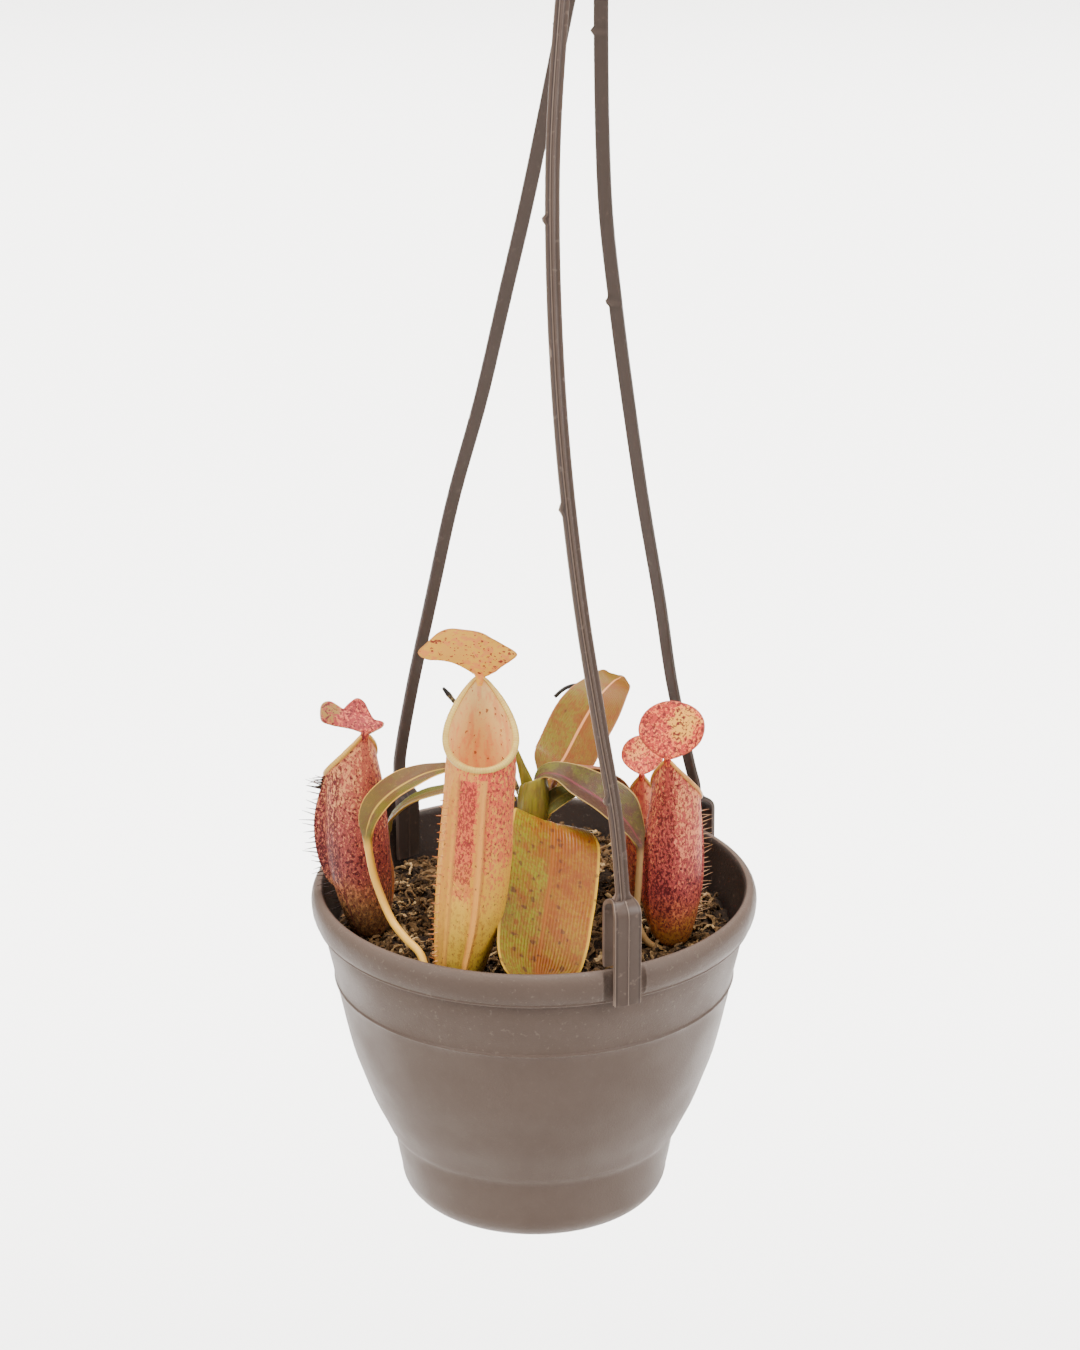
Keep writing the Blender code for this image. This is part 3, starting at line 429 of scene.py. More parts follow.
def pot_outline():
    """Return (radius, height) from the underside up the outside, over the lip and down inside."""
    flat = FOOT_RADIUS - FOOT_ROUNDING
    underside = [(1.6, 0.5), (2.2, 0.0), (20.0, 0.0), (29.4, 0.0), (29.8, 0.45), (31.0, 0.45),
                 (31.4, 0.0)]
    foot = [(flat + FOOT_ROUNDING * sine(a), FOOT_ROUNDING * (1 - cosine(a)))
            for a in range(0, 91, 9)]
    crease = [(45.0, 15.0), (45.9, 20.0), (46.2, 22.4), (46.45, 23.3), (47.0, 24.3)]
    bowl = [(row.x, row.y) for row in smooth_route(
        [(48.2, 25.6), (50.2, 30.0), (53.5, 37.0), (56.4, 45.0), (59.5, 54.0), (61.6, 62.5),
         (63.4, 71.0), (64.95, 78.2)], 28)]
    line = [(65.15, 78.55), (65.5, 78.95), (65.5, 79.3), (65.22, 79.75), (65.3, 80.6)]
    collar = [(65.9, 83.5), (66.8, 87.5), (67.6, 91.0), (68.0, 93.5), (68.2, 96.5), (68.25, 98.6)]
    flash = [(68.6, 98.95), (70.3, 98.95), (70.75, 98.8), (70.95, 99.1), (70.85, 99.6)]
    lip = [(71.3, 100.2), (71.9, 101.3), (72.3, 102.6), (72.5, 104.0), (LIP_RADIUS, 105.5),
           (72.45, 106.9), (72.1, 108.0), (71.5, 109.1), (70.7, 109.8),
           (69.9, POT_HEIGHT), (69.2, 109.8), (68.7, 109.2), (68.45, 108.3), (68.3, 107.0)]
    inside = [(67.3, 101.5), (66.4, 96.0), (65.2 - WALL, 80.0), (63.4 - WALL, 71.0),
              (59.5 - WALL, 54.0), (53.5 - WALL, 37.0), (50.2 - WALL, 30.0),
              (45.9 - WALL, 20.0), (FOOT_RADIUS - WALL, 10.5), (39.8, 4.6), (flat, POT_FLOOR)]
    return underside + foot + crease + bowl + line + collar + flash + lip + inside


def notch_share(turn):
    """Return 1 inside a notch of the lip and 0 outside it, rounded at the notch's ends."""
    share = 0.0
    for clip in CLIP_TURNS.values():
        away = apart(turn, clip) * math.radians(1.0) * LIP_RADIUS
        t = min(max((NOTCH_WIDTH / 2 + NOTCH_ROUNDING / 2 - away) / NOTCH_ROUNDING, 0.0), 1.0)
        share = max(share, math.sqrt(1.0 - (1.0 - t) ** 2))
    return share


def pot_columns():
    """Return the turns of the pot's columns, closer together at the ends of its notches."""
    ends = [clip + side * math.degrees(NOTCH_WIDTH / 2 / LIP_RADIUS)
            for clip in CLIP_TURNS.values() for side in (-1, 1)]
    turns = [360.0 * k / POT_COLUMNS for k in range(POT_COLUMNS)]
    turns = [t for t in turns if all(abs(t - end) > 1.3 for end in ends)]
    return sorted(turns + [end + 0.2 * k for end in ends for k in range(-5, 6)])


# The pot's inner wall gets painted shade.
pot_plastic = moulded_plastic("pot_plastic", 0.62, 0.16, POT_TAUPE, POT_WORN, POT_SHADE, 0.5,
                              band=(79.0, 110.0), inner_shade=(0.030, 0.021, 0.017))
pot_rings = []
for radius, height in pot_outline():
    floor_of_notch = min(radius, LIP_RADIUS - NOTCH_DEPTH)
    pot_rings.append([heading(turn) * (radius + (floor_of_notch - radius) * notch_share(turn))
                      + height * UP for turn in pot_columns()])
pot = mould("pot_moulding", loft(pot_rings), [pot_plastic], POT_SHARP)
for hole in range(DRAIN_HOLES):
    spot = heading(360.0 * (hole + 0.5) / DRAIN_HOLES) * DRAIN_CIRCLE
    ring = [heading(15.0 * k) * DRAIN_RADIUS for k in range(24)]
    drill = mould("drill", loft([[spot + p + z * UP for p in ring]
                                 for z in (-1.0, POT_FLOOR + 1.0)]), [pot_plastic])
    carve(pot, drill, "DIFFERENCE", POT_SHARP)
stand_for(pot, "pot_plastic", "pot")


# ---------------------------------------------------------------- hanger
# Three long straps of semi-rigid polypropylene with a raised rib down the outer face. Each ends
# below in a wide band bent over the pot's lip, and above in the hub plate with its hook.

CLIP_WIDTH, CLIP_THICKNESS = 9.2, 1.6
CLIP_SHOULDER = 3.2          # how far down a clip's top corners are rounded
CLIP_TOPS = {"front": 133.6, "right": 122.0, "left": 121.6}
CLIP_OUTER_LEG, CLIP_INNER_LEG = 34.9, 24.6
CLIP_OUTER_RADIUS = LIP_RADIUS + 0.3 + CLIP_THICKNESS
CLIP_INNER_RADIUS = 64.3
STRAP_WIDTH, STRAP_THICKNESS, STRAP_PITCH = 4.5, 1.7, 4.9
STRAP_ROWS = 420
STRAP_FLARE = 3.0            # length over which a strap widens into its clip
KNOB_RADIUS = 1.3
HANGER_SHARP = 30.0
HUB_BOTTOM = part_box("hanger_hook")[0].z / MM
HUB_X = 17.5
HUB_THICKNESS = 4.0
HOOK_RADIUS, HOOK_CENTRE = 13.5, 487.0
HOOK_HALF_X, HOOK_HALF_Y = 2.0, 2.5
HOOK_TIP_ANGLE = 210
HOOK_SIDES, HOOK_ROUNDNESS = 24, 0.45
STRAP_ROUTES = {
    "front": [(25.3, -60.3, 160.4), (20.2, -56.0, 190.2), (14.2, -49.8, 228.0),
              (9.0, -41.5, 273.5), (6.2, -32.3, 318.8), (5.9, -22.4, 363.0),
              (8.7, -11.6, 406.6)],
    "right": [(51.4, 44.2, 134.2), (45.4, 41.9, 163.0), (41.0, 38.9, 193.4), (35.1, 35.0, 229.6),
              (30.1, 30.7, 265.2), (25.7, 25.9, 300.2), (22.0, 20.0, 339.0),
              (20.6, 9.8, 399.0)],
    "left": [(-44.5, 52.4, 134.0), (-40.2, 50.2, 159.0), (-33.8, 46.2, 190.6),
             (-26.3, 41.3, 227.3), (-17.1, 36.0, 263.4), (-9.5, 30.2, 298.8),
             (-1.0, 23.2, 339.0), (10.4, 10.9, 400.4)],
}
STRAP_SLOTS = {"front": -1, "left": 0, "right": 1}
STRAP_LEAN = {"front": -2.6, "left": 2.6, "right": 2.6}
STRAP_KNOBS = {"front": (33.0, 126.0, 215.0), "right": (182.0, 275.0), "left": (281.0, 293.0)}

HANGER_TAUPE, HANGER_WEAR_AND_HIGHLIGHT = (0.118, 0.080, 0.062), (0.420, 0.300, 0.235)
HANGER_SHADE, GROOVE_SHADE = (0.085, 0.056, 0.042), (0.022, 0.014, 0.010)
# Lines along a strap or clip, each (U, half width, colour, share): the dark ones are painted shade
# in its grooves, the light ones painted highlights on its rib and rims and painted light on one
# face.
STRAP_LINES = [(0.25, 0.035, GROOVE_SHADE, 0.85), (0.525, 0.03, GROOVE_SHADE, 0.45),
               (0.375, 0.020, HANGER_WEAR_AND_HIGHLIGHT, 0.40), (0.14, 0.05, (0.24, 0.17, 0.135), 0.5)]
CLIP_LINES = [(0.53, 0.020, HANGER_WEAR_AND_HIGHLIGHT, 0.5), (0.49, 0.014, GROOVE_SHADE, 0.5),
              (0.575, 0.014, GROOVE_SHADE, 0.5), (0.315, 0.010, GROOVE_SHADE, 0.4),
              (0.748, 0.010, GROOVE_SHADE, 0.4), (0.27, 0.02, HANGER_WEAR_AND_HIGHLIGHT, 0.5),
              (0.79, 0.02, HANGER_WEAR_AND_HIGHLIGHT, 0.5)]
# The two straps behind stand in the plant's shade; their darker tones are painted shade, and their
# lines painted shade and painted highlight.
SHADED_STRAP_TONES = ((0.052, 0.036, 0.029), (0.190, 0.135, 0.105), (0.036, 0.024, 0.019))
SHADED_STRAP_LINES = [(0.25, 0.035, GROOVE_SHADE, 0.7), (0.12, 0.05, (0.130, 0.092, 0.074), 0.6)]


def hanger_moulding(name, lines=(), tones=(HANGER_TAUPE, HANGER_WEAR_AND_HIGHLIGHT, HANGER_SHADE),
                    roughness=0.40):
    return moulded_plastic(name, 1.1, 0.05, *tones, roughness, lines=lines)


hanger_plastic = hanger_moulding("hanger_plastic")
clip_plastic = hanger_moulding("clip_plastic", CLIP_LINES)
strap_plastic = hanger_moulding("strap_plastic", STRAP_LINES)
shaded_strap_plastic = hanger_moulding("dark_strap_plastic", SHADED_STRAP_LINES, SHADED_STRAP_TONES, 0.42)


def directions(path):
    """Return a path's direction at each of its points."""
    ends = [path[0]] + list(path) + [path[-1]]
    return [(ends[i + 2] - ends[i]).normalized() for i in range(len(path))]


def strap_section(left, right, thin):
    """Return the strap's outline: rounded edges, two shallow grooves and a rounded rib."""
    rim = 0.35
    face = [(right, thin - rim), (right - 0.12, thin - 0.1), (right - rim, thin),
            (right - 0.75, thin), (0.95, thin - 0.22), (0.55, thin - 0.05), (0.34, thin + 0.38),
            (0.12, thin + 0.5), (-0.12, thin + 0.5), (-0.34, thin + 0.38), (-0.55, thin - 0.05),
            (-0.95, thin - 0.22), (-left + 0.75, thin), (-left + rim, thin),
            (-left + 0.12, thin - 0.1), (-left, thin - rim)]
    back = [(-left, -thin + rim), (-left + rim, -thin), (right - rim, -thin), (right, -thin + rim)]
    return face + back


def strap_rings(place, route, side_from, side_to):
    """Return a strap's rings, turned from side_from to side_to, with knobs on its left edge."""
    lengths = [0.0]
    for a, b in zip(route, route[1:]):
        lengths.append(lengths[-1] + (b - a).length)
    rings = []
    for point, along, distance in zip(route, directions(route), lengths):
        side = side_from.lerp(side_to, distance / lengths[-1])
        side = (side - side.dot(along) * along).normalized()
        out = side.cross(along)
        flare = max(0.0, 1.0 - distance / STRAP_FLARE)
        knob = max(math.sqrt(max(0.0, 1.0 - ((distance - spot) / KNOB_RADIUS) ** 2))
                   for spot in STRAP_KNOBS[place])
        half = STRAP_WIDTH / 2 + flare
        left = half + (knob if side.x > 0 else 0.0)
        right = half + (knob if side.x < 0 else 0.0)
        thin = STRAP_THICKNESS / 2 + 0.8 * flare
        rings.append([point + x * side + y * out for x, y in strap_section(left, right, thin)])
    return rings


def clip_rings(place):
    """Return the rings of the bent band from the foot of its outer leg to that of its inner."""
    mid_outer = CLIP_OUTER_RADIUS - CLIP_THICKNESS / 2
    mid_inner = CLIP_INNER_RADIUS + CLIP_THICKNESS / 2
    arch, centre = (mid_outer - mid_inner) / 2, (mid_outer + mid_inner) / 2
    top = CLIP_TOPS[place]
    spring = top - CLIP_THICKNESS / 2 - arch
    foot = top - CLIP_OUTER_LEG
    outline = [(mid_outer, foot), (mid_outer, foot + 0.25)]
    outline += [(mid_outer, foot + 0.25 + (spring - foot) * k / 12) for k in range(1, 12)]
    outline += [(centre + arch * cosine(a), spring + arch * sine(a)) for a in range(0, 181, 12)]
    tail = top - CLIP_INNER_LEG
    outline += [(mid_inner, spring + (tail - spring) * k / 8) for k in range(1, 9)]
    out = heading(CLIP_TURNS[place])
    line = [out * r + z * UP for r, z in outline]
    across = UP.cross(out)
    half, thin = CLIP_WIDTH / 2, CLIP_THICKNESS / 2
    section = [(-half + 0.25, -thin), (half - 0.25, -thin), (half, -thin + 0.25),
               (half, thin - 0.35), (half - 0.12, thin - 0.1), (half - 0.4, thin),
               (0.9, thin - 0.06), (0.38, thin), (0.16, thin + 0.28), (-0.16, thin + 0.28),
               (-0.38, thin), (-0.9, thin - 0.06), (-half + 0.4, thin),
               (-half + 0.12, thin - 0.1), (-half, thin - 0.35), (-half, -thin + 0.25)]
    rings = []
    for number, (point, along) in enumerate(zip(line, directions(line))):
        normal = across.cross(along)
        shrink = 0.95 if number == 0 or number == len(line) - 1 else 1.0
        shoulder = 1.0 - 0.34 * max(0.0, (point.z - top + CLIP_SHOULDER) / CLIP_SHOULDER) ** 2
        rings.append([point + shrink * (y * normal - shoulder * x * across) for x, y in section])
    return rings


for place, turn in CLIP_TURNS.items():
    out = heading(turn)
    foot_radius = (CLIP_OUTER_RADIUS + CLIP_INNER_RADIUS) / 2
    strap_foot = out * foot_radius + (CLIP_TOPS[place] - 1.0) * UP
    strap_neck = out * (foot_radius - 0.2) + (CLIP_TOPS[place] + 4.0) * UP
    strap_top = Vector((HUB_X + STRAP_SLOTS[place] * STRAP_PITCH, 0.0, HUB_BOTTOM - 0.3))
    below = Vector((strap_top.x - 0.8, STRAP_LEAN[place], HUB_BOTTOM - 14.0))
    route = smooth_route([strap_foot, strap_neck] + STRAP_ROUTES[place] + [below, strap_top],
                         STRAP_ROWS)
    across = UP.cross(out)
    level = Vector((math.copysign(1.0, across.x), 0.0, 0.0))
    plastics = (clip_plastic, strap_plastic) if place == "front" else (shaded_strap_plastic, shaded_strap_plastic)
    strap = mould("strap_" + place, loft(clip_rings(place)), [plastics[0]], HANGER_SHARP)
    band = mould("band", loft(strap_rings(place, route, across, level)), [plastics[1]],
                 HANGER_SHARP)
    carve(strap, band, "UNION", HANGER_SHARP)
    stand_for(strap, "hanger_plastic", "hanger_strap_" + place)

hub_wide = STRAP_PITCH + STRAP_WIDTH / 2 + 0.3
hook_rows = [(Vector((HUB_X, 0, HUB_BOTTOM + rise)), half, HUB_THICKNESS / 2)
             for rise, half in ((0.0, hub_wide - 0.3), (0.5, hub_wide), (5.0, hub_wide),
                                (8.0, 0.86 * hub_wide), (11.0, 0.66 * hub_wide),
                                (13.5, 0.52 * hub_wide), (16.0, 0.44 * hub_wide))]
for angle in range(-85, HOOK_TIP_ANGLE + 1, 5):
    lean = math.radians(angle)
    spot = Vector((HUB_X, 0, HOOK_CENTRE)) + HOOK_RADIUS * Vector((math.cos(lean), 0,
                                                                   math.sin(lean)))
    blunt = 0.8 if angle > HOOK_TIP_ANGLE - 5 else 1.0
    hook_rows.append((spot, HOOK_HALF_X * blunt, HOOK_HALF_Y * blunt))
hook_rings = []
for (point, half_x, half_y), along in zip(hook_rows, directions([row[0] for row in hook_rows])):
    side = Vector((0, 1, 0)).cross(along)
    ring = []
    for k in range(HOOK_SIDES):
        lean = 2 * math.pi * (k + 0.5) / HOOK_SIDES
        x, y = [math.copysign(abs(part) ** HOOK_ROUNDNESS, part)
                for part in (math.cos(lean), math.sin(lean))]
        ring.append(point + half_x * x * side + half_y * y * Vector((0, 1, 0)))
    hook_rings.append(ring)
hook = mould("hub_and_hook", loft(hook_rings), [hanger_plastic], HANGER_SHARP)
stand_for(hook, "hanger_plastic", "hanger_hook")


# ---------------------------------------------------------------- stem and dead tendril
# A short green stem rises from the bed into a crown of clasping leaf bases, with one new leaf
# still furled above it. A dead brown tendril of an old leaf stands out behind the front pitcher.

STEM_ROWS = [(0.6, 3.0, 88.0, 3.0), (0.2, 2.2, 104.0, 3.1), (-0.1, 1.0, 116.0, 3.4),
             (-0.1, -0.2, 123.0, 3.8), (-0.1, -0.8, 128.0, 3.6)]
NEW_LEAF_ROWS = [(-0.8, -1.0, 136.5, 1.6), (-1.4, -0.9, 142.0, 2.3), (-2.7, -1.5, 147.4, 1.9),
                 (-4.1, -2.7, 152.4, 1.3), (-5.4, -3.7, 157.0, 0.9), (-6.3, -4.4, 160.2, 0.3)]
# Each row of the clasping sheath is (x, y, height, radius) of a level slice: up its outside,
# over its rim and down inside.
CROWN_ROWS = [(-0.1, -0.6, 122.5, 3.4), (-0.1, -1.0, 125.5, 4.3), (0.0, -1.4, 129.0, 4.9),
              (0.0, -1.7, 133.0, 5.4), (-0.1, -1.8, 138.0, 5.5), (-0.2, -1.7, 142.4, 5.2),
              (-0.2, -1.5, 145.6, 4.8), (-0.2, -1.4, 146.6, 4.5), (-0.2, -1.4, 146.4, 4.1),
              (-0.2, -1.4, 144.6, 3.6), (-0.3, -1.4, 142.6, 2.4)]
CROWN_SIDES = 48
STEM_SHARP = 60.0
DRY_ROWS = [(-4.6, 4.6, 139.0, 0.8), (-9.0, 6.0, 149.6, 0.65), (-16.5, 4.4, 160.4, 0.5),
            (-23.4, 1.4, 170.2, 0.55), (-27.6, 0.3, 176.2, 0.8), (-29.1, 0.0, 178.3, 0.5)]


def round_rings(rows, sides, lumps=0.0, seed=0):
    """Return the rings of a round rod through (x, y, z, radius) rows, a little uneven."""
    path = [Vector(row[:3]) for row in rows]
    draw = random.Random(seed)
    side = Vector((0.31, 0.95, 0.0))
    rings = []
    for row, point, along in zip(rows, path, directions(path)):
        side = (side - side.dot(along) * along).normalized()
        up = along.cross(side)
        swell = 1.0 + lumps * draw.uniform(-1.0, 1.0)
        rings.append([point + row[3] * swell * (math.cos(2 * math.pi * k / sides) * side
                                                + math.sin(2 * math.pi * k / sides) * up)
                      for k in range(sides)])
    return rings


def rod(rows, steps, sides, lumps=0.0, seed=0):
    """Return the loft of a smooth round rod through (x, y, z, radius) rows."""
    return loft(round_rings(smooth_route(rows, steps), sides, lumps, seed))


def speckle_group():
    """Irregular round flecks, such as a pitcher's or a leaf's: Amount is how far they grow."""
    group, inlet, outlet = new_group(
        "flecks", "ShaderNodeTree", {"Vector": "Vector"} | floats("Size", "Amount", "Blur"),
        floats("Mask"))
    scale = reckon(group, "DIVIDE", 1.0 / MM, inlet.outputs["Size"])
    warp = add_node(group, "ShaderNodeTexNoise", {
        "Vector": inlet.outputs["Vector"], "Scale": reckon(group, "MULTIPLY", scale, 1.3),
        "Detail": 2.0})
    shifted = add_node(group, "ShaderNodeVectorMath", {
        0: warp.outputs["Color"], 1: (0.5, 0.5, 0.5)}, operation="SUBTRACT").outputs[0]
    reach = add_node(group, "ShaderNodeVectorMath", {
        0: shifted, "Scale": reckon(group, "DIVIDE", 0.9, scale)}, operation="SCALE").outputs[0]
    place = add_node(group, "ShaderNodeVectorMath", {0: inlet.outputs["Vector"], 1: reach},
                     operation="ADD").outputs[0]
    cells = add_node(group, "ShaderNodeTexVoronoi", {"Vector": place, "Scale": scale})
    draw = add_node(group, "ShaderNodeSeparateColor", {"Color": cells.outputs["Color"]})
    grown = reckon(group, "MULTIPLY", inlet.outputs["Amount"],
                   reckon(group, "MULTIPLY_ADD", draw.outputs[0], 0.8, 0.2))
    edge = reckon(group, "SUBTRACT", grown, cells.outputs["Distance"])
    mask = fade(group, edge, reckon(group, "MULTIPLY", inlet.outputs["Blur"], -1.0),
                inlet.outputs["Blur"])
    group.links.new(mask, outlet.inputs["Mask"])
    return group


FLECKS = speckle_group()


def flecks(tree, place, size, amount, blur=0.08):
    return add_node(tree, "ShaderNodeGroup", {
        "Vector": place, "Size": size, "Amount": amount, "Blur": blur},
        node_tree=FLECKS).outputs["Mask"]


def clouds(tree, place, size, low=0.4, high=0.6, stretch=None):
    """Return a soft cloudy mask whose patches are about size millimetres across."""
    if stretch:
        place = add_node(tree, "ShaderNodeMapping", {"Vector": place, "Scale": stretch})
        place = place.outputs["Vector"]
    cloud = add_node(tree, "ShaderNodeTexNoise", {
        "Vector": place, "Scale": 1.0 / (size * MM), "Detail": 3.0, "Roughness": 0.6})
    return fade(tree, cloud.outputs["Fac"], low, high)


def mottle_group():
    """Ragged blotches, longer than wide, over a given share of the skin."""
    group, inlet, outlet = new_group(
        "mottle", "ShaderNodeTree", {"Vector": "Vector"} | floats("Size", "Share", "Blur"),
        floats("Mask"))
    drawn = add_node(group, "ShaderNodeMapping", {"Vector": inlet.outputs["Vector"],
                                                  "Scale": (1.0, 1.0, 0.62)})
    cloud = add_node(group, "ShaderNodeTexNoise", {
        "Vector": drawn.outputs["Vector"], "Detail": 3.0, "Roughness": 0.62,
        "Scale": reckon(group, "DIVIDE", 1.0 / MM, inlet.outputs["Size"])})
    level = reckon(group, "ADD", cloud.outputs["Fac"],
                   reckon(group, "MULTIPLY_ADD", inlet.outputs["Share"], 0.40, -0.20))
    blur = inlet.outputs["Blur"]
    low, high = [reckon(group, way, 0.5, blur) for way in ("SUBTRACT", "ADD")]
    mask = fade(group, level, low, high)
    group.links.new(mask, outlet.inputs["Mask"])
    return group


MOTTLE = mottle_group()


def mottle(tree, place, size, share, blur=0.018):
    return add_node(tree, "ShaderNodeGroup", {
        "Vector": place, "Size": size, "Share": share, "Blur": blur},
        node_tree=MOTTLE).outputs["Mask"]


def moved(tree, place, by):
    """Return the place shifted along, so that two patterns of one kind don't fall together."""
    return add_node(tree, "ShaderNodeMapping", {"Vector": place,
                                                "Location": (by, 0.6 * by, -by)}).outputs[0]


def ramp(tree, value, stops):
    """Return the colour at value on a ramp of (place, colour) stops."""
    made = add_node(tree, "ShaderNodeValToRGB", {"Fac": value})
    for number, (at, colour) in enumerate(stops):
        stop = (made.color_ramp.elements[number] if number < 2
                else made.color_ramp.elements.new(at))
        stop.position = at
        stop.color = (*colour, 1.0)
    return made.outputs["Color"]


def plant_skin(name, roughness, sheen_of_wax=0.15, translucence=0.12):
    """Return a leaf-like material: waxy, and a little light passes through it."""
    material, tree, shader = paint(name, (0.5, 0.5, 0.5), roughness,
                                   Specular_IOR_Level=0.30,
                                   Subsurface_Weight=translucence, Subsurface_Scale=0.0016,
                                   Coat_Weight=sheen_of_wax, Coat_Roughness=0.32)
    shader.inputs["Subsurface Radius"].default_value = (1.0, 0.6, 0.3)
    return material, tree, shader, object_place(tree)


def stem_finish():
    material, tree, shader, place = plant_skin("stem_skin", 0.42)
    colour = ramp(tree, fade(tree, part_of(tree, place, "Z"), 118.0 * MM, 160.0 * MM),
                  [(0.0, (0.12, 0.070, 0.018)), (0.24, (0.24, 0.20, 0.02)),
                   (0.50, (0.30, 0.255, 0.025)), (1.0, (0.34, 0.25, 0.03))])
    colour = glaze(tree, mottle(tree, place, 3.5, 0.4, 0.08), 0.5, colour, (0.24, 0.13, 0.035))
    streak = clouds(tree, place, 1.4, stretch=(1.0, 1.0, 0.12))
    colour = glaze(tree, streak, 0.35, colour, (0.07, 0.05, 0.01))
    dress(tree, shader, colour, streak, 0.4, 0.25)
    return material


stem_green = stem_finish()
stem = mould("stem", rod(STEM_ROWS, 40, 28), [stem_green], STEM_SHARP)
stand_for(stem, "stem_green", "stem")
new_leaf = mould("new_leaf", rod(NEW_LEAF_ROWS, 40, 20), [stem_green], STEM_SHARP)
stand_for(new_leaf, "stem_green")
crown_rings = []
for x, y, z, radius in smooth_route(CROWN_ROWS, 60):
    ring = []
    for k in range(CROWN_SIDES):
        turn = 360.0 * k / CROWN_SIDES
        rise = max(0.0, (z - 128.0) / 14.0)
        swell = 1.0 + 0.05 * rise * sine(2 * turn + 40)
        crease = 1.0 - 0.10 * rise * math.exp(-(apart(turn, 300.0) / 12.0) ** 2)
        lift = rise ** 3 * 1.1 * cosine(turn - 40.0)
        ring.append(Vector((x, y, z + lift)) + radius * swell * crease * heading(turn))
    crown_rings.append(ring)
crown = mould("crown_sheath", loft(crown_rings), [stem_green], STEM_SHARP)
stand_for(crown, "stem_green")


def dry_finish():
    material, tree, shader = paint("dry_tissue", (0.06, 0.04, 0.02), 0.75)
    place = object_place(tree)
    patch = clouds(tree, place, 1.2, 0.42, 0.58)
    colour = tint(tree, patch, (0.075, 0.048, 0.024), (0.30, 0.22, 0.09))
    below_tip = fade(tree, part_of(tree, place, "Z"), 177.5 * MM, 173.5 * MM)
    dress(tree, shader, tint(tree, below_tip, (0.015, 0.010, 0.010), colour), patch, 0.8, 0.3)
    return material


dry_tissue = dry_finish()
dry = mould("dead_tendril", rod(DRY_ROWS, 50, 12, 0.12, 5), [dry_tissue], STEM_SHARP)
stand_for(dry, "dry_brown", "dry_tendril")


# ---------------------------------------------------------------- leaves
# Each leaf is one blade with a raised midrib that runs on past its tip into a tendril. The
# blades wave along their margins and blush from green to orange and purple in strong light.

